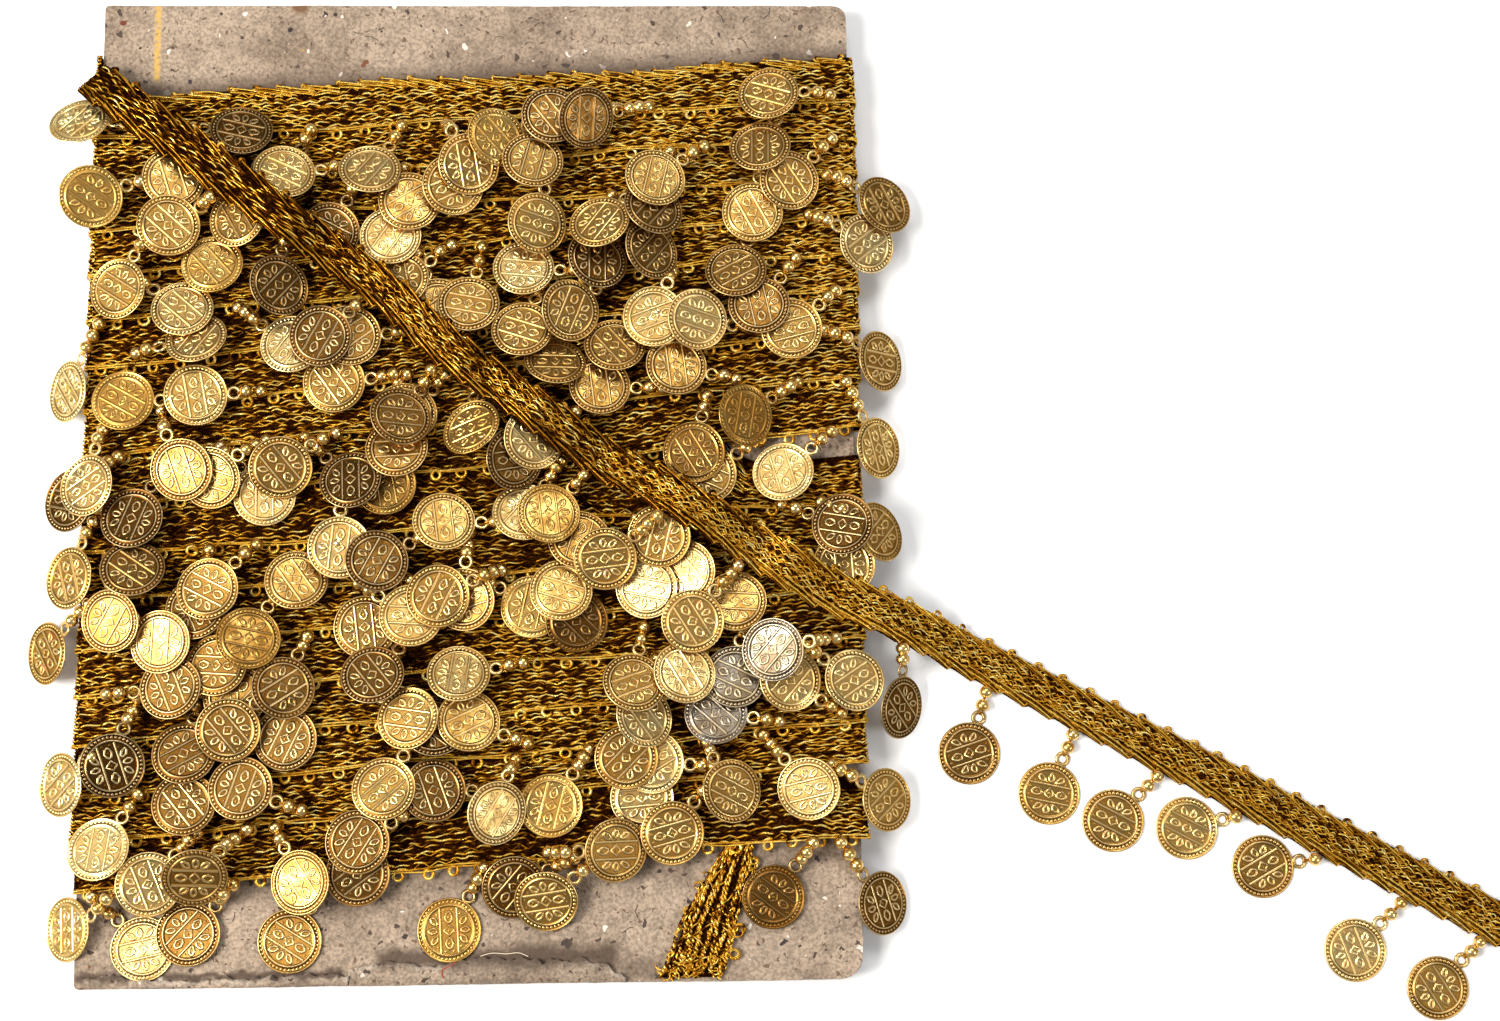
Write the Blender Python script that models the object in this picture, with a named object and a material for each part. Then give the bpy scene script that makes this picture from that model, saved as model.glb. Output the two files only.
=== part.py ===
"""Gota lace trim with coin charms, wound on a card, one end lying loose.

The lace is a narrow band wound round a piece of board in sloping turns. Coin
charms hang from its lower edge on short bead strands and lie over each other
in a heap. The last turn comes round the left edge, runs down across the heap
and on over the surface beside the card.

Lengths below are millimetres, in the card's own frame: X to the right and Y up
along the card from its lower left corner, Z up from the surface it lies on.
"""
import math

import bmesh
import bpy
import numpy as np
from mathutils import Vector

MM = 0.001
GAP = 0.3

# Card
CARD_W = 165.0
CARD_H = 214.5
CARD_BACK = 4.3
CARD_FRONT = 7.1
CORNER_RADII = (1.0, 5.0, 3.0, 1.0)
CORNER_STEPS = 4

# Lace band
LACE_W = 10.8
LACE_T = 1.2
SHINGLE = 0.6
LACE_TOP = CARD_FRONT + GAP + SHINGLE + LACE_T
FRONT_STATIONS = 4
BACK_STATIONS = 3

# Height of each turn's lower edge at the card's left side and right side.
# The last line is the upper limit of the top turn.
TURNS = (
    (20.0, 30.0),
    (30.2, 46.0),
    (40.3, 54.0),
    (50.5, 62.0),
    (60.6, 72.0),
    (70.8, 82.0),
    (81.0, 92.0),
    (91.0, 102.0),
    (101.3, 117.5),
    (111.5, 129.0),
    (121.6, 140.0),
    (131.8, 148.5),
    (142.0, 157.0),
    (152.1, 166.0),
    (162.3, 174.5),
    (172.5, 183.0),
    (182.6, 192.0),
    (192.7, 201.5),
)
TURN_COUNT = len(TURNS) - 1
TOP_PITCH = 10.0

# Picot strip that carries a turn's charms
STRIP_LOW = 0.2
STRIP_W = 1.2
STRIP_T = 0.7
STRIP_Z = LACE_TOP + GAP
STRIP_ENDS = (1.0, 164.0)
ROOT_HALF = 0.7
ROOT_SPACING = 2.3
ROOT_TO_END = 1.2

# Charm: coin, lug and bead strand
COIN_R = 6.75
COIN_T = 0.5
COIN_SIDES = 10
BACK_COIN_SIDES = 8
REACHES = (15.0, 14.0, 16.0, 13.0, 17.0)
LUG_W = 3.4
BEAD_W = 2.3
STRAND_T = 0.7
BEAD_T = 1.1

# Places of the bead and the lug, as shares of the way from root to coin
BEAD_AT = 0.42
LUG_AT = 0.76

# Coins that lie deep in the heap and are laid first, then those above them.
# Columns: coin's middle x, y, clock direction of its lug in degrees, roll.
DEEP_COINS = (
    (41.0, 174.0, 0, 0), (17.5, 173.0, 0, 0), (31.6, 164.0, 0, 0),
    (66.5, 150.0, 0, 0), (75.0, 144.0, 0, 0), (81.5, 175.4, -20, 0), (78.0, 171.0, 0, 0),
    (143.2, 165.2, 0, 0), (121.5, 165.0, 0, 0), (109.3, 154.0, 0, 0),
    (68.5, 121.0, 0, 0), (66.5, 113.0, 0, 0), (121.6, 141.4, 0, 0), (132.5, 107.5, 0, 0),
    (162.0, 87.6, -60, 0), (27.0, 107.0, 0, 0), (38.3, 103.5, -45, 0),
    (63.8, 105.7, 0, 0), (54.7, 91.7, 0, 0), (27.2, 83.0, 0, 0), (24.6, 79.0, 0, 0),
    (115.7, 96.6, 0, 0), (122.5, 93.3, 0, 0), (95.3, 79.0, -45, 0), (128.0, 86.0, 0, 0),
    (60.0, 75.0, 0, 0), (81.0, 80.5, 0, 0), (29.3, 67.0, 0, 0), (33.0, 60.6, 0, 0),
    (43.6, 51.5, 0, 0), (75.0, 53.8, 0, 0), (59.3, 23.3, 0, 0), (118.5, 38.5, 0, 0),
    (-3.6, 102.7, 0, 0), (23.2, 38.2, 0, 0), (99.5, 186.5, 0, 0), (64.5, 160.0, 0, 0),
)
HEAP_COINS = (
    (32.0, 183.5, -80, 0), (41.7, 173.7, 60, 0), (60.0, 174.4, 25, 0),
    (68.5, 167.6, 0, 0), (51.0, 161.3, 40, 0), (-3.0, 185.6, 20, -33), (0.6, 168.0, 85, 26),
    (-5.7, 152.5, 40, 33), (6.3, 148.3, 40, 0), (26.0, 154.0, 0, 0), (20.0, 144.0, -70, 0),
    (41.0, 148.5, 0, 36), (87.5, 181.5, 65, 0), (95.4, 176.2, 40, 0),
    (107.0, 185.5, 75, 36), (147.0, 192.0, 0, 0), (145.0, 179.6, 0, 0), (151.3, 172.2, 20, 0),
    (168.3, 158.8, -65, 0), (172.5, 168.0, -20, 0), (122.0, 171.8, 45, 0), (110.0, 161.7, 20, 0),
    (96.3, 162.3, 0, 28), (85.6, 157.8, -80, 33), (93.3, 152.8, 80, 0), (121.0, 156.0, 0, 36),
    (139.4, 152.0, 10, 0), (144.3, 144.0, 30, 0), (81.6, 144.5, 0, 0),
    (23.4, 137.2, -120, 33), (7.7, 124.1, 90, 0), (23.5, 124.9, 70, 0), (43.3, 136.3, -65, 0),
    (56.0, 138.0, 70, 0), (52.6, 128.0, 90, 0), (82.7, 116.8, -65, 0), (95.8, 114.6, 0, 0),
    (91.5, 110.3, 0, 36), (93.2, 138.7, 0, 0), (103.5, 142.5, 0, 28), (113.1, 135.4, 0, 0),
    (100.3, 131.4, 0, 36), (109.8, 126.7, 85, 0), (130.9, 140.8, 100, 0), (126.3, 131.0, 90, 0),
    (151.4, 139.0, 80, 0), (141.0, 119.4, 70, 26), (130.0, 112.0, 5, 0), (149.1, 107.6, 60, 0),
    (161.5, 95.7, -50, 0), (171.0, 133.0, -60, 0), (170.0, 113.5, -50, 0), (169.6, 94.7, -50, 0),
    (-5.0, 127.0, 40, 0), (1.2, 105.4, 0, 0), (21.2, 108.5, -20, 0), (42.0, 108.9, -15, 0),
    (56.9, 106.2, -50, 0), (10.6, 98.4, 105, 0), (11.5, 87.4, 0, 0), (-2.8, 86.0, 30, 0),
    (76.6, 97.2, 90, 0), (62.8, 88.6, 95, 0), (45.6, 84.8, 0, 0), (7.0, 76.5, 0, 0),
    (93.6, 99.0, 45, 0), (105.4, 93.0, 45, 0), (101.6, 82.2, 0, 0), (119.7, 82.8, 0, 0),
    (104.8, 75.8, 0, 0), (138.6, 79.8, -60, 0), (70.0, 77.0, 0, 0), (75.8, 81.0, 40, 0),
    (-8.0, 70.4, 35, 0), (17.5, 72.0, -20, 0), (19.8, 62.3, -75, 0), (36.3, 72.4, 0, 0),
    (43.4, 62.0, 0, 0), (32.3, 53.3, 0, 0), (56.3, 56.6, 0, 0), (62.2, 64.5, 0, 0),
    (69.7, 55.4, 0, 0), (80.0, 64.7, 90, 0), (82.2, 54.8, 100, 0), (8.3, 46.2, 20, 0),
    (-3.2, 42.5, 40, 0), (23.0, 48.6, 0, 0), (34.9, 41.2, 100, 0), (57.3, 46.3, 0, 28),
    (64.8, 40.8, 30, 0), (75.0, 40.4, 80, 0), (59.5, 29.9, 60, 0), (5.8, 29.0, 50, 0),
    (35.2, 27.6, -25, 0), (16.2, 21.7, 0, 0), (26.7, 23.1, 0, 33), (47.7, 21.8, -25, 0),
    (14.4, 8.4, -50, 0), (23.9, 11.4, 45, 0), (44.8, 9.6, 40, 0), (78.0, 11.4, 30, 0),
    (-1.5, 12.5, 40, 0), (88.3, 35.6, 0, 36), (99.4, 37.0, 40, 0), (91.6, 20.2, 0, 0),
    (98.4, 17.3, 60, 0), (113.0, 27.6, -120, 0), (124.8, 31.0, 45, 0), (115.3, 46.8, 0, 0),
    (120.7, 45.8, 105, 0), (119.0, 55.3, 0, 33), (117.0, 62.2, 0, 0), (127.6, 64.3, 0, 0),
    (134.2, 56.0, 90, 0), (138.3, 63.6, 0, 0), (146.3, 69.0, 80, 0), (150.0, 62.8, 150, 0),
    (163.6, 62.7, -40, 0), (153.6, 39.9, -45, 0), (137.3, 39.6, 0, 28), (145.9, 17.5, 30, 0),
    (170.3, 37.5, -40, 0), (169.2, 15.8, -40, 0),
)

# Back of the card: coins lie flat on the surface under it
BACK_STRIP_Z = 1.3
BACK_STRIP_T = 0.6
BACK_PITCH = 72.0
BACK_FIRST = 20.0
BACK_SHIFT = 24.0
BACK_LAST = 155.0
BACK_PHASES = 3
BACK_REACH = 15.0
BACK_BEAD_Z = 0.15

# Loose tail: middle line seen from above, and the strip's side of it
TAIL_ROUTE = (
    (-1.2, 196.0), (10.0, 187.0), (20.0, 180.0), (40.0, 164.5), (60.0, 150.2),
    (80.0, 132.6), (100.0, 117.6), (120.0, 104.8), (140.0, 93.2), (160.0, 81.5),
    (181.0, 72.8), (201.4, 62.8), (221.8, 52.4), (242.2, 41.9), (262.6, 31.0),
    (282.9, 20.2), (303.3, 9.6), (312.0, 5.0),
)
TAIL_W = 8.6
TAIL_T = 1.1
TAIL_STEP = 4.0
TAIL_RISE = 0.55
TAIL_LEANS = np.linspace(-0.35, 0.35, 11)
SMOOTHING = (0.25, 0.5, 0.25)
SMOOTHING_ROUNDS = 2
CURVE_STEPS = 20

# Picot strips of the tail: where they start and end, in stations of the tail
TAIL_STRIP_START = 1.5
TAIL_STRIP_STOP = 0.2
TAIL_STRIP_PART = 0.1
SHORT_STRETCH = 0.2

# Charms of the tail. Columns: root's x, coin's middle x and y.
TAIL_CARD_CHARMS = (
    (9.0, -1.0, 174.0),
    (26.0, 17.0, 162.0),
    (42.0, 33.4, 150.8),
    (58.0, 50.0, 137.5),
    (74.0, 67.5, 119.5),
    (90.0, 84.5, 107.0),
    (106.0, 99.0, 98.5),
    (122.0, 111.0, 88.5),
    (139.0, 129.4, 75.2),
    (156.0, 149.5, 66.5),
    (174.4, 173.9, 57.1),
)
TAIL_TABLE_CHARMS = (
    (193.0, 189.2, 47.4),
    (211.6, 206.3, 38.6),
    (229.6, 220.0, 32.6),
    (246.3, 236.0, 30.8),
    (263.6, 252.2, 22.4),
    (281.5, 271.4, 4.4),
    (298.0, 288.9, -3.8),
)

# Cut end where the winding starts, from the lowest turn down across the card.
# Columns: left edge x, right edge x, y.
START_END = (
    (137.0, 141.8, 27.2),
    (130.6, 140.1, 20.5),
    (126.6, 138.2, 12.5),
    (124.2, 136.8, 6.0),
    (121.2, 135.4, 0.6),
)
START_T = 1.0

# Grid of heights on which the charms are laid
CELL = 0.5
HEAP_X = (-22.0, 322.0)
HEAP_Y = (-22.0, 222.0)
LOOK_ROUND = 9.0
START_ROOM = (3.0, 4.5)

# Room round what is laid: beside a coin as it settles, above what lies
# under it, and beside what is marked on the grid
BESIDE = 0.5
CLEAR = 0.34
MARKED = 0.4

# How far a coin may lean, and what a lean costs beside a lower place
LEVEL_SLOPES = np.linspace(-0.45, 0.45, 7)
EDGE_SLOPES = np.linspace(-1.2, 1.2, 13)
ROLL_SLACK = 0.1
SLOPE_COST = 1.5
TALLEST = 16.6

# A strand: room for its lug, the most it may arch, the stretch at its root
# that lies on its own strip, and the least share a rise is spread over
LUG_ROOM = 1.2
MAX_LIFT = 7.0
OWN_STRIP = 1.4
OWN_RIM = 0.3
LEAST_SHARE = 0.12

# A root: the patch beside it that has to be free, and how near a coin or a
# strand may pass before it counts as lying over the root
ROOT_AHEAD = 1.0
ROOT_PATCH = (1.6, 0.6)
LEVEL = 0.05
UNDER_COIN = 1.9
UNDER_STRAND = 2.6
REACH_COST = 5.0
ROOT_TRIES = 14

GOLD = ("brass_gold", (0.62, 0.40, 0.12), 0.32, 1.0)
LACE = ("gold_lace", (0.56, 0.33, 0.08), 0.5, 0.6)
BOARD = ("grey_board", (0.42, 0.38, 0.33), 0.9, 0.0)


def clear_scene():
    for item in list(bpy.data.objects):
        bpy.data.objects.remove(item, do_unlink=True)


def make_material(name, colour, roughness, metallic):
    material = bpy.data.materials.new(name)
    material.use_nodes = True
    shader = material.node_tree.nodes["Principled BSDF"]
    shader.inputs["Base Color"].default_value = (*colour, 1.0)
    shader.inputs["Roughness"].default_value = roughness
    shader.inputs["Metallic"].default_value = metallic
    material.diffuse_color = (*colour, 1.0)
    return material


def add_object(name, mesh, material, collection, parent):
    mesh.materials.append(material)
    item = bpy.data.objects.new(name, mesh)
    collection.objects.link(item)
    item.parent = parent
    return item


def mesh_from_bmesh(name, bm):
    bmesh.ops.recalc_face_normals(bm, faces=bm.faces[:])
    mesh = bpy.data.meshes.new(name)
    bm.to_mesh(mesh)
    bm.free()
    return mesh


def add_vert(bm, x, y, z):
    return bm.verts.new((x * MM, y * MM, z * MM))


def loft(bm, sections, first_cap=True, last_cap=True):
    """Join rings of four corners into one strip."""
    for ring, following in zip(sections, sections[1:]):
        for side in range(4):
            after = (side + 1) % 4
            bm.faces.new((ring[side], ring[after], following[after], following[side]))
    if first_cap:
        bm.faces.new(sections[0])
    if last_cap:
        bm.faces.new(sections[-1])


def card_outline():
    """Card's corners as arcs, counter-clockwise from the lower left."""
    centres = ((0, 0, 180), (CARD_W, 0, 270), (CARD_W, CARD_H, 0), (0, CARD_H, 90))
    points = []
    for (x, y, start), radius in zip(centres, CORNER_RADII):
        cx = x + (radius if x == 0 else -radius)
        cy = y + (radius if y == 0 else -radius)
        for step in range(CORNER_STEPS + 1):
            angle = math.radians(start + 90.0 * step / CORNER_STEPS)
            points.append((cx + radius * math.cos(angle), cy + radius * math.sin(angle)))
    return points


def make_card():
    """The board, as a flat outline given its thickness."""
    curve = bpy.data.curves.new("card_outline", "CURVE")
    curve.dimensions = "2D"
    curve.fill_mode = "BOTH"
    curve.extrude = (CARD_FRONT - CARD_BACK) * MM / 2
    spline = curve.splines.new("POLY")
    outline = card_outline()
    spline.points.add(len(outline) - 1)
    for point, (x, y) in zip(spline.points, outline):
        point.co = (x * MM, y * MM, 0.0, 1.0)
    spline.use_cyclic_u = True
    guide = bpy.data.objects.new("card_guide", curve)
    bpy.context.scene.collection.objects.link(guide)
    guide.location.z = (CARD_FRONT + CARD_BACK) * MM / 2
    bpy.context.view_layer.update()
    evaluated = guide.evaluated_get(bpy.context.evaluated_depsgraph_get())
    mesh = bpy.data.meshes.new_from_object(evaluated)
    mesh.transform(guide.matrix_world)
    bpy.data.objects.remove(guide, do_unlink=True)
    bm = bmesh.new()
    bm.from_mesh(mesh)
    bpy.data.meshes.remove(mesh)
    bmesh.ops.remove_doubles(bm, verts=bm.verts[:], dist=0.00001)
    return mesh_from_bmesh("card", bm)


def turn_line(turn):
    if turn < len(TURNS):
        return TURNS[turn]
    left, right = TURNS[-1]
    return left + TOP_PITCH, right + TOP_PITCH


def front_edge(turn, x):
    """Lower edge of a turn on the card's front, at x."""
    left, right = turn_line(turn)
    return left + (right - left) * x / CARD_W


def back_edge(turn, x):
    """Lower edge of a turn on the card's back, where it climbs to the next."""
    left, right = turn_line(turn + 1)[0], turn_line(turn)[1]
    return left + (right - left) * x / CARD_W


def band_span(edge, turn, x):
    low = edge(turn, x)
    return low, min(edge(turn + 1, x) - GAP, low + LACE_W)


def band_section(bm, corner, outward, span):
    """Four corners of the band: its lower edge rides over the turn below."""
    low, high = span
    section = []
    for y, lift in ((low, GAP + SHINGLE), (low, GAP + SHINGLE + LACE_T), (high, GAP + LACE_T), (high, GAP)):
        section.append(add_vert(bm, corner[0] + outward[0] * lift, y, corner[1] + outward[1] * lift))
    return section


def make_winding():
    """The wound band: one strip that climbs the card turn by turn."""
    bm = bmesh.new()
    sections = []
    for turn in range(TURN_COUNT):
        for step in range(FRONT_STATIONS + 2):
            x = CARD_W * step / (FRONT_STATIONS + 1)
            side = -1 if step == 0 else (1 if step == FRONT_STATIONS + 1 else 0)
            span = band_span(front_edge, turn, x)
            sections.append(band_section(bm, (x, CARD_FRONT), (side, 1), span))
        for step in range(BACK_STATIONS + 2):
            x = CARD_W * (1 - step / (BACK_STATIONS + 1))
            side = 1 if step == 0 else (-1 if step == BACK_STATIONS + 1 else 0)
            span = band_span(back_edge, turn, x)
            sections.append(band_section(bm, (x, CARD_BACK), (side, -1), span))
    sections.append(band_section(bm, (0.0, CARD_FRONT), (-1, 1), band_span(front_edge, TURN_COUNT, 0.0)))
    loft(bm, sections)
    return mesh_from_bmesh("wound_lace", bm)


def make_start_end():
    bm = bmesh.new()
    low = CARD_FRONT + GAP
    sections = []
    for left, right, y in START_END:
        corners = ((left, low), (right, low), (right, low + START_T), (left, low + START_T))
        sections.append([add_vert(bm, x, y, z) for x, z in corners])
    loft(bm, sections)
    return mesh_from_bmesh("start_end", bm)


class Heap:
    """Height of all that is laid so far, on a grid seen from above."""

    def __init__(self):
        self.x = np.arange(HEAP_X[0], HEAP_X[1], CELL)
        self.y = np.arange(HEAP_Y[0], HEAP_Y[1], CELL)
        self.top = np.zeros((len(self.x), len(self.y)))
        on_x = (self.x > -BESIDE) & (self.x < CARD_W + BESIDE)
        on_y = (self.y > -BESIDE) & (self.y < CARD_H + BESIDE)
        self.top[np.ix_(on_x, on_y)] = CARD_FRONT
        wide = LACE_T + GAP + SHINGLE + MARKED
        for column, x in enumerate(self.x):
            if not -wide < x < CARD_W + wide:
                continue
            low, high = front_edge(0, x), front_edge(TURN_COUNT, x)
            if x < STRIP_ENDS[0]:
                high += TOP_PITCH
            self.top[column, (self.y > low - BESIDE) & (self.y < high + BESIDE)] = LACE_TOP
            if STRIP_ENDS[0] - BESIDE < x < STRIP_ENDS[1] + BESIDE:
                for turn in range(TURN_COUNT):
                    edge = front_edge(turn, x) + STRIP_LOW
                    near = (self.y > edge - MARKED) & (self.y < edge + STRIP_W + MARKED)
                    self.top[column, near] = STRIP_Z + STRIP_T
        for left, right, y in START_END:
            near_x = (self.x > left - START_ROOM[0]) & (self.x < right + START_ROOM[0])
            near_y = np.abs(self.y - y) < START_ROOM[1]
            part = self.top[np.ix_(near_x, near_y)]
            self.top[np.ix_(near_x, near_y)] = np.maximum(part, CARD_FRONT + GAP + START_T)

    def window(self, x0, y0, x1, y1):
        i0, i1 = np.searchsorted(self.x, (x0, x1))
        j0, j1 = np.searchsorted(self.y, (y0, y1))
        grid_x, grid_y = np.meshgrid(self.x[i0:i1], self.y[j0:j1], indexing="ij")
        return grid_x, grid_y, self.top[i0:i1, j0:j1]


def coin_cells(heap, coin, along, slopes, margin, lug_room=0.0):
    """Cells under a leaning coin, in its own directions."""
    size = COIN_R + margin + lug_room
    grid_x, grid_y, top = heap.window(coin[0] - size, coin[1] - size, coin[0] + size, coin[1] + size)
    across = (-along[1], along[0])
    du = (grid_x - coin[0]) * along[0] + (grid_y - coin[1]) * along[1]
    dv = (grid_x - coin[0]) * across[0] + (grid_y - coin[1]) * across[1]
    half_u = COIN_R / math.hypot(1, slopes[0]) + margin
    half_v = COIN_R / math.hypot(1, slopes[1]) + margin
    inside = (du / half_u) ** 2 + (dv / half_v) ** 2 < 1
    if lug_room:
        inside |= (du > 0) & (du < half_u + lug_room) & (np.abs(dv) < LUG_W / 2)
    return du, dv, top, inside


def settle_coin(heap, coin, along, roll, slope_set):
    """Lean and height at which a coin comes to lie lowest."""
    base = math.tan(math.radians(roll))
    across_set = slope_set if roll == 0 else (base - ROLL_SLACK, base, base + ROLL_SLACK)
    best = None
    for slope_u in slope_set:
        for slope_v in across_set:
            slopes = (slope_u, slope_v)
            du, dv, top, inside = coin_cells(heap, coin, along, slopes, BESIDE, LUG_ROOM)
            need = top[inside] - slope_u * du[inside] - slope_v * dv[inside]
            height = need.max() + CLEAR
            cost = height + SLOPE_COST * (slope_u ** 2 + (slope_v - base) ** 2)
            if best is None or cost < best[0]:
                best = (cost, height, slopes)
    return best[1], best[2]


def coin_frame(along, slopes):
    """Directions along the lug, across it and out of a leaning coin."""
    u = Vector((along[0], along[1], slopes[0])).normalized()
    v = Vector((-along[1], along[0], slopes[1]))
    v = (v - u * v.dot(u)).normalized()
    return u, v, u.cross(v)


def strand_corridor(heap, start, end, half_width):
    """Cells under a straight stretch of strand, with their share of the way."""
    x0, x1 = sorted((start[0], end[0]))
    y0, y1 = sorted((start[1], end[1]))
    grid_x, grid_y, top = heap.window(x0 - LUG_W, y0 - LUG_W, x1 + LUG_W, y1 + LUG_W)
    run = np.array((end[0] - start[0], end[1] - start[1]))
    length = float(np.hypot(*run))
    share = ((grid_x - start[0]) * run[0] + (grid_y - start[1]) * run[1]) / length ** 2
    off = ((grid_x - start[0]) * run[1] - (grid_y - start[1]) * run[0]) / length
    inside = (share > -MARKED / length) & (share < 1 + MARKED / length) & (np.abs(off) < half_width)
    return np.clip(share, 0, 1), top, inside, length


def strand_stops(root, rim):
    """Places of the bead and the lug on the way from the root to the coin's rim."""
    run = (rim[0] - root[0], rim[1] - root[1])
    return [(root[0] + share * run[0], root[1] + share * run[1]) for share in (BEAD_AT, LUG_AT)]


def lay_strand(heap, root, root_z, rim, rim_z):
    """Heights of the bead and the lug, so that the strand clears the heap."""
    heights = [root_z, root_z, rim_z, rim_z]
    stops = [root, *strand_stops(root, rim), rim]
    for stretch in (0, 2, 1):
        start, end = stops[stretch], stops[stretch + 1]
        share, top, inside, length = strand_corridor(heap, start, end, LUG_W / 2 + GAP)
        if stretch == 0:
            inside &= share * length > OWN_STRIP
        if stretch == 2:
            inside &= (1 - share) * length > OWN_RIM
        if not inside.any():
            continue
        share = share[inside]
        short = top[inside] + CLEAR - heights[stretch] * (1 - share) - heights[stretch + 1] * share
        if stretch == 0:
            heights[1] += max(0.0, float((short / share).max()))
        elif stretch == 2:
            heights[2] += max(0.0, float((short / np.maximum(1 - share, LEAST_SHARE)).max()))
        else:
            lift = max(0.0, float(short.max()))
            heights[1] += lift
            heights[2] += lift
    if max(heights[1] - root_z, heights[2] - rim_z) > MAX_LIFT:
        return None
    return list(zip(stops[1:3], heights[1:3]))


def root_is_free(heap, root, side):
    """True where nothing laid so far covers the root."""
    low, high = sorted((root[1], root[1] + side * ROOT_AHEAD))
    wide, deep = ROOT_PATCH
    _, _, top = heap.window(root[0] - wide, low - deep, root[0] + wide, high + deep)
    return float(top.max()) < STRIP_Z + STRIP_T + LEVEL


def lay_charm(heap, charm, root_z):
    """Settle one coin and its strand on the heap; None where it has no room."""
    root, coin = charm["root"], charm["coin"]
    reach = math.hypot(root[0] - coin[0], root[1] - coin[1])
    along = ((root[0] - coin[0]) / reach, (root[1] - coin[1]) / reach)
    over_edge = coin[0] < 0 or coin[0] > CARD_W
    slope_set = EDGE_SLOPES if over_edge and charm["roll"] == 0 else LEVEL_SLOPES
    height, slopes = settle_coin(heap, coin, along, charm["roll"], slope_set)
    if height > TALLEST:
        return None
    u, v, out = coin_frame(along, slopes)
    centre = Vector((coin[0], coin[1], height))
    rim = centre + u * COIN_R * math.cos(math.pi / COIN_SIDES)
    strand = lay_strand(heap, root, root_z, (rim.x, rim.y), rim.z)
    if strand is None:
        return None
    du, dv, top, inside = coin_cells(heap, coin, along, slopes, MARKED)
    plane = height + slopes[0] * du + slopes[1] * dv + COIN_T / out.z
    top[inside] = np.maximum(top[inside], plane[inside])
    stops = [(root, root_z)] + strand + [((rim.x, rim.y), rim.z)]
    thick = (STRAND_T, BEAD_T, STRAND_T, STRAND_T)
    for index in range(3):
        (start, low), (end, high) = stops[index], stops[index + 1]
        share, top, inside, _ = strand_corridor(heap, start, end, BEAD_W / 2 + MARKED)
        line = low * (1 - share) + high * share + max(thick[index], thick[index + 1])
        top[inside] = np.maximum(top[inside], line[inside])
    charm.update(centre=centre, frame=(u, v, out), strand=strand, along=along)
    return charm


def find_roots(coin, lug, taken):
    """Places on the turns' edges one reach from the coin, nearest its lug's way first."""
    wanted = math.radians(lug)
    found = []
    for turn in range(TURN_COUNT):
        left, right = TURNS[turn]
        slope = (right - left) / CARD_W
        for reach in REACHES:
            offset = left + slope * coin[0] - coin[1]
            square = reach ** 2 * (1 + slope ** 2) - offset ** 2
            if square < 0:
                continue
            for sign in (-1, 1):
                dx = (-slope * offset + sign * math.sqrt(square)) / (1 + slope ** 2)
                x = coin[0] + dx
                if not STRIP_ENDS[0] + ROOT_TO_END < x < STRIP_ENDS[1] - ROOT_TO_END:
                    continue
                if any(abs(x - other) < ROOT_SPACING for other in taken[turn]):
                    continue
                turn_away = math.atan2(dx, offset + slope * dx) - wanted
                turn_away = abs(math.atan2(math.sin(turn_away), math.cos(turn_away)))
                found.append((math.degrees(turn_away) + REACH_COST * abs(reach - REACHES[0]), turn, x))
    return sorted(found)


def hang(charm, turn, root_x):
    """Give a charm its root on a turn's strip, on the side nearer its coin."""
    edge = front_edge(turn, root_x) + STRIP_LOW
    side = 1 if charm["coin"][1] > edge + STRIP_W else -1
    charm.update(turn=turn, side=side, root=(root_x, edge + (STRIP_W if side > 0 else 0.0)))


def plan_row_charms():
    """Give each coin of the tables a root on a turn of the lace."""
    taken = [[] for _ in range(TURN_COUNT)]
    charms = []
    for layer, table in enumerate((DEEP_COINS, HEAP_COINS)):
        for x, y, lug, roll in table:
            charm = dict(coin=(x, y), lug=lug, roll=roll, layer=layer)
            _, turn, root_x = find_roots((x, y), lug, taken)[0]
            taken[turn].append(root_x)
            hang(charm, turn, root_x)
            charms.append(charm)
    return charms, taken


def covers(charm, other):
    """True where a charm's coin or strand lies over another's root."""
    rx, ry = other["root"][0], other["root"][1] + other["side"] * ROOT_AHEAD
    cx, cy = charm["coin"]
    if math.hypot(rx - cx, ry - cy) < COIN_R + UNDER_COIN:
        return True
    sx, sy = charm["root"]
    run = (cx - sx, cy - sy)
    share = ((rx - sx) * run[0] + (ry - sy) * run[1]) / (run[0] ** 2 + run[1] ** 2)
    if not 0 < share < 1:
        return False
    return math.hypot(rx - sx - share * run[0], ry - sy - share * run[1]) < UNDER_STRAND


def laying_order(charms):
    """Charms whose coins hide another's root wait until that one is laid."""
    waiting = list(charms)
    hidden = {id(a): [b for b in charms if b is not a and covers(a, b)] for a in charms}
    order = []
    while waiting:
        left = {id(charm) for charm in waiting}

        def rank(charm):
            blocked = sum(1 for other in hidden[id(charm)] if id(other) in left)
            return blocked, charm["layer"], charm["coin"][1]

        following = min(waiting, key=rank)
        waiting.remove(following)
        order.append(following)
    return order


def lay_on_other_root(heap, charm, taken):
    """Lay a charm from the first other root that is free and in reach."""
    for _, turn, root_x in find_roots(charm["coin"], charm["lug"], taken)[:ROOT_TRIES]:
        hang(charm, turn, root_x)
        if root_is_free(heap, charm["root"], charm["side"]) and lay_charm(heap, charm, STRIP_Z):
            taken[turn].append(root_x)
            return True
    return False


def lay_rows(heap):
    """Lay all charms of the wound turns; those with no room are left out."""
    laid = [[] for _ in range(TURN_COUNT)]
    charms, taken = plan_row_charms()
    for charm in laying_order(charms):
        free = root_is_free(heap, charm["root"], charm["side"])
        if free and lay_charm(heap, charm, STRIP_Z) or lay_on_other_root(heap, charm, taken):
            laid[charm["turn"]].append(charm)
    return laid


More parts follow.
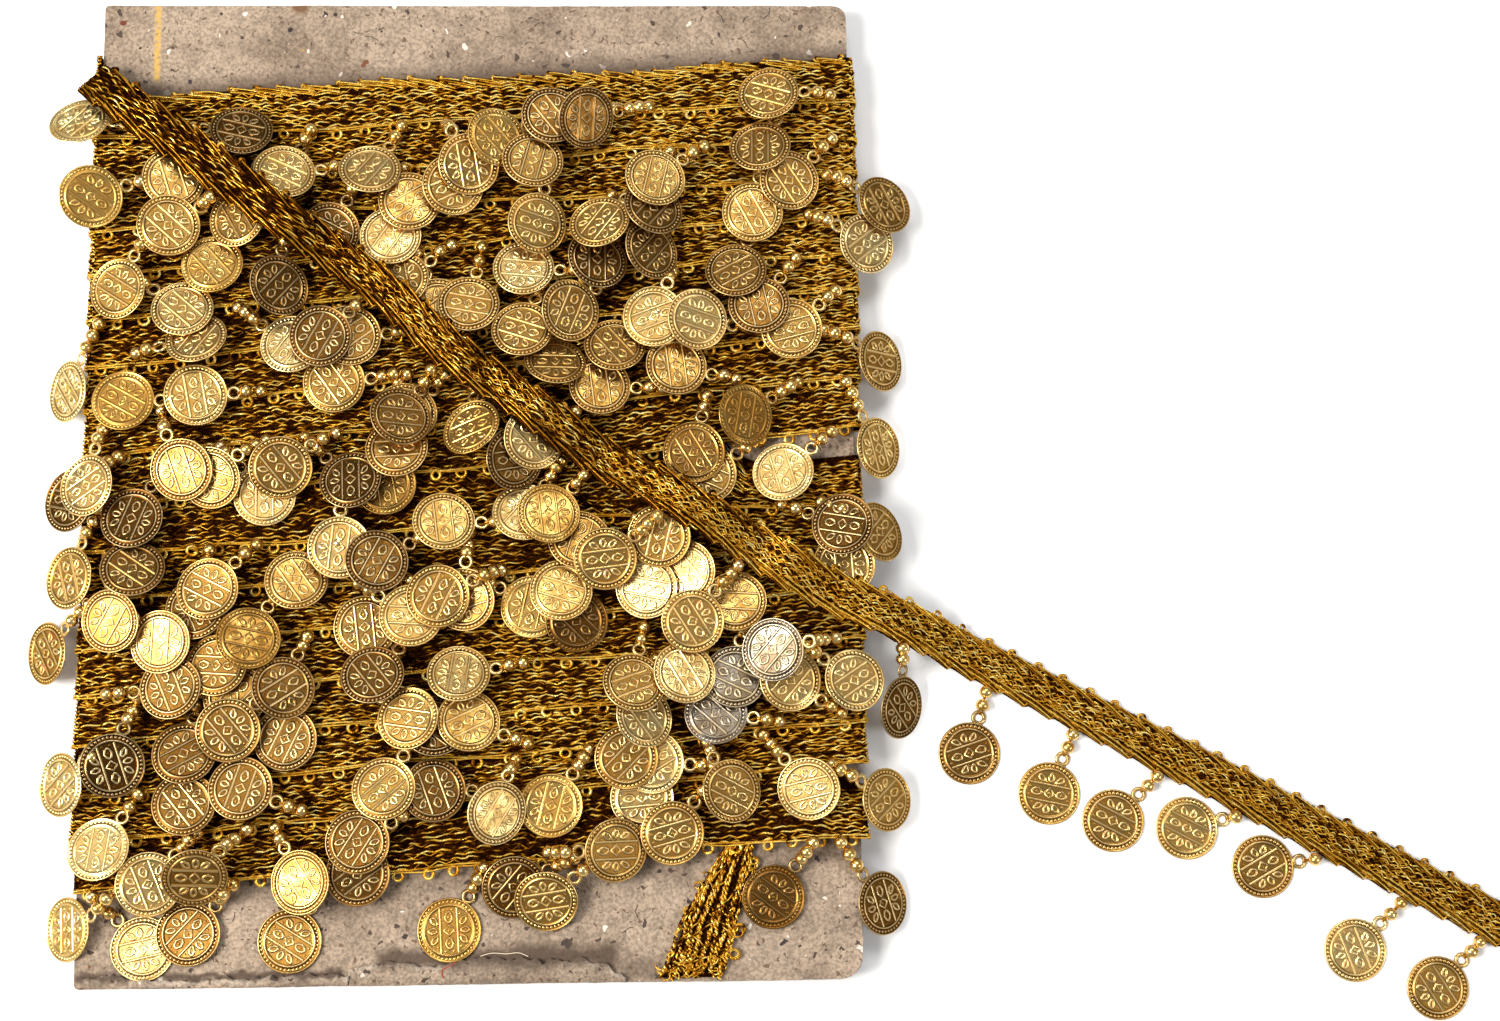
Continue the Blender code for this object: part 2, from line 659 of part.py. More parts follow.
def strand_ring(bm, point, height, along, width, thick):
    """Four corners of a strand, seen along its way from the root."""
    px, py = along[1], -along[0]
    half = width / 2
    corners = ((-half, 0.0), (half, 0.0), (half, thick), (-half, thick))
    return [add_vert(bm, point[0] + px * s, point[1] + py * s, height + lift) for s, lift in corners]


def add_coin(bm, charm, sides, entry_ring):
    """Coin disc, open where its lug's strand runs into the rim."""
    u, v, out = charm["frame"]
    low, high = [], []
    for step in range(sides):
        angle = math.pi * (2 * step + 1) / sides
        rim = charm["centre"] + (u * math.cos(angle) + v * math.sin(angle)) * COIN_R
        low.append(add_vert(bm, *rim))
        high.append(add_vert(bm, *(rim + out * COIN_T)))
    bm.faces.new(low)
    bm.faces.new(high)
    for step in range(sides - 1):
        bm.faces.new((low[step], low[step + 1], high[step + 1], high[step]))
    mouth = (low[0], low[-1], high[-1], high[0])
    for side in range(4):
        after = (side + 1) % 4
        bm.faces.new((entry_ring[side], entry_ring[after], mouth[after], mouth[side]))


def add_charm(bm, charm, root_ring, sides):
    """Strand from the strip through its bead and lug to the coin."""
    widths = (BEAD_W, LUG_W)
    thicks = (BEAD_T, STRAND_T)
    rings = [root_ring]
    for (point, height), width, thick in zip(charm["strand"], widths, thicks):
        rings.append(strand_ring(bm, point, height, charm["along"], width, thick))
    loft(bm, rings, first_cap=False, last_cap=False)
    add_coin(bm, charm, sides, rings[-1])


def make_strip(name, stations, charms, sides):
    """A narrow strip with its charms fused on: one closed body.

    Each station holds the strip's corners, low side first, and each charm names
    the stretch its strand leaves from, and the side.
    """
    bm = bmesh.new()
    rings = [[add_vert(bm, *corner) for corner in corners] for corners in stations]
    roots = {charm["stretch"]: charm for charm in charms}
    for index, (ring, following) in enumerate(zip(rings, rings[1:])):
        charm = roots.get(index)
        open_side = None
        if charm:
            open_side = 0 if charm["side"] < 0 else 2
        for side in range(4):
            after = (side + 1) % 4
            if side != open_side:
                bm.faces.new((ring[side], ring[after], following[after], following[side]))
        if open_side == 0:
            add_charm(bm, charm, [ring[0], following[0], following[1], ring[1]], sides)
        elif open_side == 2:
            add_charm(bm, charm, [following[3], ring[3], ring[2], following[2]], sides)
    bm.faces.new(rings[0])
    bm.faces.new(rings[-1])
    return mesh_from_bmesh(name, bm)


def strip_stations(ends, charms, corners_at):
    """Stations at the strip's ends and on both sides of each root."""
    places = [ends[0]]
    for charm in sorted(charms, key=lambda item: item["root"][0]):
        charm["stretch"] = len(places)
        places += [charm["root"][0] - ROOT_HALF, charm["root"][0] + ROOT_HALF]
    places.append(ends[1])
    return [corners_at(x) for x in places]


def make_front_strip(turn, charms):
    def corners_at(x):
        low = front_edge(turn, x) + STRIP_LOW
        high = low + STRIP_W
        top = STRIP_Z + STRIP_T
        return (x, low, STRIP_Z), (x, low, top), (x, high, top), (x, high, STRIP_Z)

    stations = strip_stations(STRIP_ENDS, charms, corners_at)
    return make_strip(f"front_charms_{turn + 1:02d}", stations, charms, COIN_SIDES)


def back_charms(turn):
    """Coins of a back turn, flat on the surface and clear of each other."""
    charms = []
    x = BACK_FIRST + BACK_SHIFT * (turn % BACK_PHASES)
    while x < BACK_LAST:
        root = (x, back_edge(turn, x) + STRIP_LOW)
        centre = Vector((x, root[1] - BACK_REACH, 0.0))
        rim = (x, centre.y + COIN_R * math.cos(math.pi / BACK_COIN_SIDES))
        strand = list(zip(strand_stops(root, rim), (BACK_BEAD_Z, 0.0)))
        frame = (Vector((0, 1, 0)), Vector((-1, 0, 0)), Vector((0, 0, 1)))
        charms.append(dict(root=root, side=-1, centre=centre, frame=frame, strand=strand, along=(0.0, 1.0)))
        x += BACK_PITCH
    return charms


def make_back_strip(turn):
    def corners_at(x):
        low = back_edge(turn, x) + STRIP_LOW
        high = low + STRIP_W
        top = BACK_STRIP_Z + BACK_STRIP_T
        return (x, low, BACK_STRIP_Z), (x, low, top), (x, high, top), (x, high, BACK_STRIP_Z)

    charms = back_charms(turn)
    stations = strip_stations(STRIP_ENDS, charms, corners_at)
    return make_strip(f"back_charms_{turn + 1:02d}", stations, charms, BACK_COIN_SIDES)


def smooth_route(points, step):
    """Points at even steps along a curve through the route's own points."""
    dense = []
    padded = [points[0]] + list(points) + [points[-1]]
    for a, b, c, d in zip(padded, padded[1:], padded[2:], padded[3:]):
        a, b, c, d = (np.array(point) for point in (a, b, c, d))
        for t in np.linspace(0, 1, CURVE_STEPS, endpoint=False):
            dense.append(0.5 * (2 * b + (c - a) * t + (2 * a - 5 * b + 4 * c - d) * t ** 2
                                + (3 * b - a - 3 * c + d) * t ** 3))
    dense.append(np.array(points[-1]))
    dense = np.array(dense)
    along = np.concatenate(([0], np.cumsum(np.linalg.norm(np.diff(dense, axis=0), axis=1))))
    count = int(round(along[-1] / step))
    places = np.linspace(0, along[-1], count + 1)
    return np.column_stack([np.interp(places, along, dense[:, axis]) for axis in (0, 1)])


def tail_cells(heap, point, way):
    """Cells round a point of the tail, along its way and off it."""
    x, y = point
    grid_x, grid_y, top = heap.window(x - LOOK_ROUND, y - LOOK_ROUND, x + LOOK_ROUND, y + LOOK_ROUND)
    run = (grid_x - x) * way[0] + (grid_y - y) * way[1]
    off = -(grid_x - x) * way[1] + (grid_y - y) * way[0]
    return run, off, top


def tail_line(heap):
    """Middle line, lean and height of the loose tail where it lies on the heap."""
    route = smooth_route(TAIL_ROUTE, TAIL_STEP)
    ways = np.gradient(route, axis=0)
    ways /= np.linalg.norm(ways, axis=1)[:, None]
    upper = TAIL_W / 2 + BESIDE
    lower = TAIL_W / 2 + GAP + STRIP_W + BESIDE
    leans, cells = [], []
    for point, way in zip(route, ways):
        run, off, top = tail_cells(heap, point, way)
        inside = (np.abs(run) < TAIL_STEP + MARKED) & (off < upper) & (off > -lower)
        top, off = top[inside], off[inside]
        cells.append((top, off))
        heights = [float((top + CLEAR - lean * off).max()) + abs(lean) for lean in TAIL_LEANS]
        leans.append(TAIL_LEANS[int(np.argmin(heights))] if top.any() else 0.0)
    for _ in range(SMOOTHING_ROUNDS):
        leans = np.convolve(np.pad(leans, 1, mode="edge"), SMOOTHING, mode="valid")
    heights = []
    for lean, (top, off) in zip(leans, cells):
        if not top.any():
            heights.append(abs(lean) * lower)
        else:
            heights.append(float((top + CLEAR - lean * off).max()))
    heights = np.array(heights)
    steepest = TAIL_RISE * TAIL_STEP
    for index in range(1, len(heights)):
        heights[index] = max(heights[index], heights[index - 1] - steepest)
    for index in range(len(heights) - 2, -1, -1):
        heights[index] = max(heights[index], heights[index + 1] - steepest)
    return route, ways, leans, heights


def tail_point(line, place, off, lift):
    """Point of the tail at a station, off its middle line by off."""
    route, ways, leans, heights = line
    index = min(int(place), len(route) - 2)
    share = place - index
    point = route[index] * (1 - share) + route[index + 1] * share
    way = ways[index] * (1 - share) + ways[index + 1] * share
    lean = leans[index] * (1 - share) + leans[index + 1] * share
    height = heights[index] * (1 - share) + heights[index + 1] * share
    return point[0] - way[1] * off, point[1] + way[0] * off, height + lean * off + lift


def make_tail(line):
    bm = bmesh.new()
    half = TAIL_W / 2
    sections = []
    for place in range(len(line[0])):
        corners = ((-half, 0.0), (half, 0.0), (half, TAIL_T), (-half, TAIL_T))
        sections.append([add_vert(bm, *tail_point(line, place, off, lift)) for off, lift in corners])
    loft(bm, sections)
    return mesh_from_bmesh("tail", bm)


def tail_place(line, x):
    """Station of the tail whose lower edge crosses x."""
    edge = -(TAIL_W / 2 + GAP + STRIP_W)
    crossings = [tail_point(line, place, edge, 0.0)[0] for place in range(len(line[0]))]
    return float(np.interp(x, crossings, np.arange(len(crossings))))


def mark_tail(heap, line):
    """Add the laid tail and its strip to the heap."""
    route, ways, leans, heights = line
    for index in range(len(route) - 1):
        point, way = (route[index] + route[index + 1]) / 2, ways[index]
        height = max(heights[index], heights[index + 1])
        run, off, top = tail_cells(heap, point, way)
        inside = (np.abs(run) < TAIL_STEP / 2 + BESIDE) & (off < TAIL_W / 2 + MARKED)
        inside &= off > -(TAIL_W / 2 + GAP + STRIP_W + MARKED)
        top[inside] = np.maximum(top[inside], (height + leans[index] * off + TAIL_T)[inside])


def lay_tail_charms(heap, line, table):
    """Charms of the tail that lie on the card's heap or hang off its edge."""
    charms = []
    for charm, root_z in hang_on_tail(line, table):
        if lay_charm(heap, charm, root_z):
            charms.append(charm)
    return charms


def lay_surface_charms(line, table):
    """Charms beside the card: their coins and strands rest level on the surface."""
    charms = []
    for charm, root_z in hang_on_tail(line, table):
        root, coin = charm["root"], charm["coin"]
        reach = math.hypot(root[0] - coin[0], root[1] - coin[1])
        along = ((root[0] - coin[0]) / reach, (root[1] - coin[1]) / reach)
        rim = (coin[0] + along[0] * COIN_R, coin[1] + along[1] * COIN_R)
        strand = list(zip(strand_stops(root, rim), (root_z / 2, 0.0)))
        frame = coin_frame(along, (0.0, 0.0))
        charm.update(centre=Vector((*coin, 0.0)), frame=frame, strand=strand, along=along)
        charms.append(charm)
    return charms


def hang_on_tail(line, table):
    """Each charm of a table with its root on the tail's picot strip, and the root's height."""
    for root_x, coin_x, coin_y in table:
        place = tail_place(line, root_x)
        x, y, z = tail_point(line, place, -(TAIL_W / 2 + GAP + STRIP_W), 0.0)
        yield dict(root=(x, y), side=-1, coin=(coin_x, coin_y), roll=0, place=place), z


def stations_between(start, stop):
    """Whole stations of the tail that lie between two places and not too near them."""
    whole = range(int(start) + 1, int(stop) + 1)
    return [place for place in whole if place - start > SHORT_STRETCH and stop - place > SHORT_STRETCH]


def make_tail_strip(name, line, charms, ends):
    """Picot strip beside the tail's lower edge, with the tail's charms."""
    low = -(TAIL_W / 2 + GAP + STRIP_W)
    half = ROOT_HALF / TAIL_STEP
    places = [ends[0]]
    for charm in charms:
        places += stations_between(places[-1], charm["place"] - half)
        charm["stretch"] = len(places)
        places += [charm["place"] - half, charm["place"] + half]
    places += stations_between(places[-1], ends[1])
    places.append(ends[1])
    stations = []
    for place in places:
        corners = ((low, 0.0), (low, STRIP_T), (low + STRIP_W, STRIP_T), (low + STRIP_W, 0.0))
        stations.append([tail_point(line, place, off, lift) for off, lift in corners])
    return make_strip(name, stations, charms, COIN_SIDES)


def stand_on_origin(parent, items):
    """Put the middle of the whole object's underside on the origin."""
    corners = [vertex.co for item in items for vertex in item.data.vertices]
    low = [min(corner[axis] for corner in corners) for axis in range(3)]
    high = [max(corner[axis] for corner in corners) for axis in range(3)]
    parent.location = (-(low[0] + high[0]) / 2, -(low[1] + high[1]) / 2, -low[2])


def main():
    clear_scene()
    collection = bpy.data.collections.new("gota_lace_trim")
    bpy.context.scene.collection.children.link(collection)
    parent = bpy.data.objects.new("card_corner", None)
    collection.objects.link(parent)
    gold, lace, board = (make_material(*look) for look in (GOLD, LACE, BOARD))
    items = []

    def add(mesh, material):
        items.append(add_object(mesh.name, mesh, material, collection, parent))

    add(make_card(), board)
    add(make_winding(), lace)
    add(make_start_end(), lace)
    heap = Heap()
    for turn, charms in enumerate(lay_rows(heap)):
        add(make_front_strip(turn, charms), gold)
    for turn in range(TURN_COUNT):
        add(make_back_strip(turn), gold)
    line = tail_line(heap)
    add(make_tail(line), lace)
    mark_tail(heap, line)
    card_charms = lay_tail_charms(heap, line, TAIL_CARD_CHARMS)
    table_charms = lay_surface_charms(line, TAIL_TABLE_CHARMS)
    split = (card_charms[-1]["place"] + table_charms[0]["place"]) / 2
    card_ends = (TAIL_STRIP_START, split - TAIL_STRIP_PART)
    table_ends = (split + TAIL_STRIP_PART, len(line[0]) - 1 - TAIL_STRIP_STOP)
    add(make_tail_strip("tail_charms_card", line, card_charms, card_ends), gold)
    add(make_tail_strip("tail_charms_surface", line, table_charms, table_ends), gold)
    stand_on_origin(parent, items)


main()
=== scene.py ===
# %% [markdown]
# # Gota lace trim with coin charms, wound on a card
# The real thing is a narrow crocheted lace of metallic gold thread, sold by the metre and
# wound on a piece of grey board. Thin stamped coins hang from its lower edge on short
# strands of beads. This lesson dresses the plain solids of the part: it loads them as a fixed
# frame, reads from them where every coin, strand and band lies, and puts the fine surface
# there. All sizes below are millimetres, measured from the card's lower left corner.

# %% Load the frame
import math
from functools import partial

import bmesh
import bpy
import numpy as np
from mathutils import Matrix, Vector


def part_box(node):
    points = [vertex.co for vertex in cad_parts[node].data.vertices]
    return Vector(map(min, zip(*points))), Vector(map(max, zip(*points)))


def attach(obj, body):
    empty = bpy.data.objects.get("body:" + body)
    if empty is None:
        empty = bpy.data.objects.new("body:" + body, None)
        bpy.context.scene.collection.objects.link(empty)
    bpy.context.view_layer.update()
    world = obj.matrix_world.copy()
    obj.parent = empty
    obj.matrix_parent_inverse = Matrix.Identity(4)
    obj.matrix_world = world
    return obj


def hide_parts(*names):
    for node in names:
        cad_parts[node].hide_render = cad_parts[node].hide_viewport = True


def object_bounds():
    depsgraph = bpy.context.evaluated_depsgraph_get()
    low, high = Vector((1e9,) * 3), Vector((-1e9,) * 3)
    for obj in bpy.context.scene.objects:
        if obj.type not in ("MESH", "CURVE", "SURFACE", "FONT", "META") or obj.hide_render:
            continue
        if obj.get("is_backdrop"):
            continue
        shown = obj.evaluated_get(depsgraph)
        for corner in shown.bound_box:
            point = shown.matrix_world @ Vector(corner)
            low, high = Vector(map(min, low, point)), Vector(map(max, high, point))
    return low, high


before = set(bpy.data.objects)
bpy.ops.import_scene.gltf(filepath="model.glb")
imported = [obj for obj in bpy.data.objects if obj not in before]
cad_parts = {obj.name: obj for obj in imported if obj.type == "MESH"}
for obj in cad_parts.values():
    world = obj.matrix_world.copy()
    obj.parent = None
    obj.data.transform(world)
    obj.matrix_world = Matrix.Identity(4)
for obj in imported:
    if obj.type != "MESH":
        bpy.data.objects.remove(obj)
cad_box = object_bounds()
MM = 0.001
card_low, card_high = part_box("card")
CORNER = np.array((card_low.x, card_low.y, 0.0))
CARD_W = (card_high.x - card_low.x) / MM
CARD_H = (card_high.y - card_low.y) / MM
CARD_BACK = card_low.z / MM
CARD_FRONT = card_high.z / MM
print("card", round(CARD_W, 1), round(CARD_H, 1), "front face at", round(CARD_FRONT, 2))

# %% [markdown]
# ## Camera
# The photo looks almost straight down, a little from the bottom edge of the card. The place
# and the turn of the camera were solved from the card's four corners, so they are given
# relative to the card's corner and its front face. The picture is 1500 pixels wide. The
# plain view transform keeps gold as saturated as the photo shows it.

# %% Camera
IMAGE_W = 1500
FOCAL_PIXELS = 2200
SENSOR_W = 36.0
CAMERA_AT = (126.73, 29.76, 470.86)
CAMERA_TURN = (8.492, -1.763, -0.667)

camera_data = bpy.data.cameras.new("camera")
camera_data.sensor_width = SENSOR_W
camera_data.lens = SENSOR_W * FOCAL_PIXELS / IMAGE_W
camera_data.clip_start = 0.01
camera = bpy.data.objects.new("camera", camera_data)
bpy.context.scene.collection.objects.link(camera)
camera.location = CORNER + np.array(CAMERA_AT) * MM + (0.0, 0.0, CARD_FRONT * MM)
camera.rotation_euler = [math.radians(turn) for turn in CAMERA_TURN]
bpy.context.scene.camera = camera
bpy.context.scene.view_settings.view_transform = "Standard"
print("lens", round(camera_data.lens, 1))

# %% [markdown]
# ## Floor and light
# Polished gold only shows what is around it. A plain pale floor, a dim even surround and
# three soft panels of different size give each tilted coin something bright and something
# dark to mirror, which is what makes it read as metal. The strongest panel stands on the
# left, because the coins' shadows in the photo fall to the right.

# %% Floor and light
FLOOR_HALF = 1.5
FLOOR_DROP = 0.0002
SURROUND = (0.80, 0.78, 0.76, 1.0)
SURROUND_STRENGTH = 0.42


def add_object(name, data):
    item = bpy.data.objects.new(name, data)
    bpy.context.scene.collection.objects.link(item)
    return item


def add_panel(name, place, size, power, colour=(1.0, 1.0, 1.0)):
    """A rectangular light that faces the middle of the card."""
    light = bpy.data.lights.new(name, "AREA")
    light.shape = "RECTANGLE"
    light.size, light.size_y = size
    light.energy = power
    light.color = colour
    item = add_object(name, light)
    item.location = place
    item.rotation_euler = (-Vector(place)).to_track_quat("-Z", "Y").to_euler()


world = bpy.data.worlds.new("surround")
bpy.context.scene.world = world
world.use_nodes = True
background = world.node_tree.nodes["Background"].inputs
background["Color"].default_value = SURROUND
background["Strength"].default_value = SURROUND_STRENGTH

add_panel("panel_left", (-0.55, -0.1, 0.62), (0.30, 0.42), 10.0, (1.0, 0.97, 0.92))
add_panel("panel_above", (0.05, 0.5, 0.8), (0.55, 0.3), 3.8)
add_panel("panel_right", (0.62, -0.3, 0.55), (0.25, 0.25), 2.2, (0.95, 0.97, 1.0))

# %% [markdown]
# ## Meshes from arrays
# Most pieces here are hundreds of copies of a small form: threads, beads, coins. Their points
# are worked out as arrays and poured into a mesh at once, which is far quicker than adding
# faces one by one. A piece can carry a number per point, such as how worn or raised it is,
# for its material to read.

# %% A bin that collects forms
class Bin:
    """Collects forms that end up in one mesh, each with a material and numbers."""

    def __init__(self):
        self.points, self.tone, self.raised = [], [], []
        self.faces = {3: [], 4: []}
        self.slots = {3: [], 4: []}
        self.count = 0

    def add(self, points, quads=(), tris=(), slot=0, tone=0.5, raised=1.0):
        points = np.asarray(points, float).reshape(-1, 3)
        for corners, faces in ((4, quads), (3, tris)):
            if len(faces):
                faces = np.asarray(faces, int).reshape(-1, corners) + self.count
                self.faces[corners].append(faces)
                self.slots[corners].append(np.full(len(faces), slot))
        for kept, values in ((self.tone, tone), (self.raised, raised)):
            kept.append(np.broadcast_to(np.asarray(values, float).ravel(), len(points)))
        self.points.append(points)
        self.count += len(points)

    def arrays(self):
        quads, tris = (np.concatenate(self.faces[n] or [np.zeros((0, n), int)]) for n in (4, 3))
        return np.concatenate(self.points), quads, tris, np.concatenate(self.raised)

    def make(self, name, materials, smooth=True):
        points, quads, tris, raised = self.arrays()
        mesh = bpy.data.meshes.new(name)
        mesh.vertices.add(len(points))
        mesh.vertices.foreach_set("co", (points * MM + CORNER).astype(np.float32).ravel())
        corners = np.concatenate((quads.ravel(), tris.ravel())).astype(np.int32)
        mesh.loops.add(len(corners))
        mesh.loops.foreach_set("vertex_index", corners)
        starts = np.concatenate((np.arange(len(quads)) * 4, quads.size + np.arange(len(tris)) * 3))
        mesh.polygons.add(len(starts))
        mesh.polygons.foreach_set("loop_start", starts.astype(np.int32))
        mesh.polygons.foreach_set("use_smooth", np.full(len(starts), smooth))
        slots = np.concatenate(self.slots[4] + self.slots[3]).astype(np.int32)
        mesh.polygons.foreach_set("material_index", slots)
        for material in materials:
            mesh.materials.append(material)
        for label, values in (("tone", np.concatenate(self.tone)), ("raised", raised)):
            attribute = mesh.attributes.new(label, "FLOAT", "POINT")
            attribute.data.foreach_set("value", values.astype(np.float32))
        mesh.update(calc_edges=True)
        mesh.validate()
        return add_object(name, mesh)


# %% Tubes, strips and turned forms
UP = np.array((0.0, 0.0, 1.0))


def unit(vectors):
    lengths = np.linalg.norm(vectors, axis=-1, keepdims=True)
    return vectors / np.maximum(lengths, 1e-9)


def ways_along(path, closed=False):
    """The way that a path takes at each of its points."""
    if closed:
        return np.roll(path, -1, axis=0) - np.roll(path, 1, axis=0)
    return np.gradient(path, axis=0)


def round_angles(count, start=0.0):
    return 2 * np.pi * (np.arange(count) + start) / count


def tube(path, ups, radius, sides=3, closed=False):
    """Points and quads of a round thread along a path."""
    path = np.asarray(path, float)
    ways = unit(ways_along(path, closed))
    across = unit(np.cross(ways, ups))
    over = np.cross(across, ways)
    angles = round_angles(sides, 0.25)[:, None]
    radius = np.broadcast_to(np.asarray(radius, float), len(path))[:, None, None]
    spread = across[:, None] * np.cos(angles) + over[:, None] * np.sin(angles)
    return (path[:, None] + radius * spread).reshape(-1, 3), skin(len(path), sides, closed)


def skin(steps, sides, closed=False):
    """Quads between rings of points that follow each other along a form."""
    step = np.arange(steps if closed else steps - 1)[:, None]
    side = np.arange(sides)
    after = (side + 1) % sides
    here, there = step * sides, (step + 1) % steps * sides
    corners = [here + side, there + side, there + after, here + after]
    return np.stack(corners, axis=-1).reshape(-1, 4)


def slab(rows):
    """A flat closed strip: rows of points go round its section, seen against its way."""
    sides = len(rows)
    steps = len(rows[0])
    half = sides // 2
    caps = [(turn, turn + 1, sides - 2 - turn, sides - 1 - turn) for turn in range(half - 1)]
    last = (steps - 1) * sides
    ends = [tuple(last + corner for corner in reversed(cap)) for cap in caps]
    points = np.stack(rows, axis=1).reshape(-1, 3)
    return points, np.vstack([skin(steps, sides), caps, ends])


def turned(outline, segments):
    """A closed form turned about Z. Rows: radius, height, raised. Both ends are poles."""
    rows = np.array(outline)
    rings = rows[1:-1]
    angles = round_angles(segments)
    x, y = rings[:, :1] * np.cos(angles), rings[:, :1] * np.sin(angles)
    z = np.repeat(rings[:, 1:2], segments, axis=1)
    points = np.stack([x, y, z], axis=-1).reshape(-1, 3)
    step = np.arange(segments)
    after = (step + 1) % segments
    last = (len(rings) - 1) * segments
    low = np.column_stack([after, step, np.full(segments, len(points))])
    high = np.column_stack([last + step, last + after, np.full(segments, len(points) + 1)])
    points = np.vstack([points, (0, 0, rows[0, 1]), (0, 0, rows[-1, 1])])
    raised = np.concatenate([np.repeat(rings[:, 2], segments), rows[[0, -1], 2]])
    return points, skin(len(rings), segments)[:, ::-1], np.vstack([low, high]), raised


def dress(piece, slot, *nodes):
    """Fix a piece to the part and hide the solids that it takes over. The slot is not used."""
    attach(piece, "root")
    if nodes:
        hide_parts(*nodes)
    piece.data.calc_loop_triangles()
    triangles.append(len(piece.data.loop_triangles))
    print(piece.name, triangles[-1], "triangles")
    return piece


triangles = []

# %% [markdown]
# ## Shader groups
# Old brass, thread and board all share one thing: their colour wanders in soft patches. One
# group gives that wandering value, and another gives a fine grain. Each material places them
# with its own scale, so the look is shared but nothing repeats.

# %% Node helpers
def set_input(tree, socket, value):
    """Link a socket to another node's output, or give it a plain value."""
    if hasattr(value, "is_output"):
        tree.links.new(value, socket)
    elif isinstance(value, tuple) and len(value) == 3 and socket.type == "RGBA":
        socket.default_value = (*value, 1.0)
    else:
        socket.default_value = value


def add_node(tree, kind, inputs=None, **settings):
    made = tree.nodes.new(kind)
    for name, value in settings.items():
        setattr(made, name, value)
    for name, value in (inputs or {}).items():
        set_input(tree, made.inputs[name], value)
    return made


def math_node(tree, operation, first, second=0.0):
    return add_node(tree, "ShaderNodeMath", {0: first, 1: second}, operation=operation).outputs[0]


def vector_math(tree, operation, first, second):
    inputs = {0: first, 1: second}
    return add_node(tree, "ShaderNodeVectorMath", inputs, operation=operation).outputs


def map_range(tree, value, low, high, to_low, to_high):
    inputs = {"Value": value, "From Min": low, "From Max": high,
              "To Min": to_low, "To Max": to_high}
    return add_node(tree, "ShaderNodeMapRange", inputs).outputs["Result"]


def mix(tree, share, first, second, blend="MIX"):
    made = add_node(tree, "ShaderNodeMix", {}, data_type="RGBA", blend_type=blend)
    for index, value in ((0, share), (6, first), (7, second)):
        set_input(tree, made.inputs[index], value)
    return made.outputs[2]


def darken(tree, first, second):
    return mix(tree, 1.0, first, second, "MULTIPLY")


def ramp(tree, value, stops):
    made = add_node(tree, "ShaderNodeValToRGB", {"Fac": value})
    elements = made.color_ramp.elements
    while len(elements) < len(stops):
        elements.new(0.5)
    for element, (place, colour) in zip(elements, stops):
        element.position = place
        element.color = (*colour, 1.0)
    return made.outputs["Color"]


# %% Two shared groups
PATCH_INPUTS = {"Size": 300.0, "Low": 0.35, "High": 0.65}


def new_group(name, inputs, output):
    group = bpy.data.node_groups.new(name, "ShaderNodeTree")
    for label, value in inputs.items():
        socket = group.interface.new_socket(label, in_out="INPUT", socket_type="NodeSocketFloat")
        socket.default_value = value
    group.interface.new_socket(output, in_out="OUTPUT", socket_type="NodeSocketFloat")
    given = group.nodes.new("NodeGroupInput").outputs
    return group, given, group.nodes.new("NodeGroupOutput").inputs[output]


def noise(tree, scale, detail):
    """A noise that goes with the object."""
    spot = add_node(tree, "ShaderNodeTexCoord").outputs["Object"]
    inputs = {"Vector": spot, "Scale": scale, "Detail": detail}
    return add_node(tree, "ShaderNodeTexNoise", inputs).outputs


patches_group, given, result = new_group("patches", PATCH_INPUTS, "Value")
cloud = noise(patches_group, given["Size"], 3.0)["Fac"]
spread = map_range(patches_group, cloud, given["Low"], given["High"], 0.0, 1.0)
patches_group.links.new(spread, result)

grain_group, given, result = new_group("grain", {"Size": 2500.0}, "Height")
grain_group.links.new(noise(grain_group, given["Size"], 2.0)["Fac"], result)
print("groups", [group.name for group in bpy.data.node_groups])


# %% Material helpers
def start_material(name, metallic, roughness):
    material = bpy.data.materials.new(name)
    material.use_nodes = True
    shader = material.node_tree.nodes["Principled BSDF"]
    shader.inputs["Metallic"].default_value = metallic
    shader.inputs["Roughness"].default_value = roughness
    return material, material.node_tree, shader.inputs


def plain_paint(name, colour, roughness):
    material, _, inputs = start_material(name, 0.0, roughness)
    inputs["Base Color"].default_value = (*colour, 1.0)
    return material


def read_number(tree, label):
    return add_node(tree, "ShaderNodeAttribute", attribute_name=label).outputs["Fac"]


def patches(tree, size, low, high):
    inputs = {"Size": size, "Low": low, "High": high}
    return add_node(tree, "ShaderNodeGroup", inputs, node_tree=patches_group).outputs["Value"]


def grain(tree, inputs, size, depth, strength):
    """Fine relief on a material, of a depth in metres."""
    made = add_node(tree, "ShaderNodeGroup", {"Size": size}, node_tree=grain_group)
    relief = {"Height": made.outputs["Height"], "Distance": depth, "Strength": strength}
    tree.links.new(add_node(tree, "ShaderNodeBump", relief).outputs["Normal"], inputs["Normal"])


# %% [markdown]
# ## Coin, bead and thread metals
# The coins are thin stamped brass, lacquered gold. Their raised lines carry a painted
# highlight on the crest and painted shade at the foot. Each coin has its own tone, from dull
# brown over gold to pale, and a few have gone grey. The beads are plated and polished. The
# thread is a metal-coated film cut into strips and twisted; its tone is painted bright on one
# stitch and dark on the next, as painted highlights and shade on the twisted film. Each
# material reads the number "tone", and the coins read "raised" too.

# %% Coin metal
COIN_TONES = (
    (0.0, (0.085, 0.038, 0.008)),
    (0.25, (0.26, 0.135, 0.03)),
    (0.5, (0.50, 0.30, 0.076)),
    (0.7, (0.72, 0.485, 0.15)),
    (0.9, (0.92, 0.73, 0.34)),
    (1.0, (0.30, 0.26, 0.21)),
)
COIN_GLANCE = (1.0, 0.86, 0.6, 1.0)
WORN_SHADE = (0.72, 0.62, 0.48)
FOOT_SHADE = (0.27, 0.17, 0.08)
CREST_HIGHLIGHT = (1.0, 0.82, 0.44)

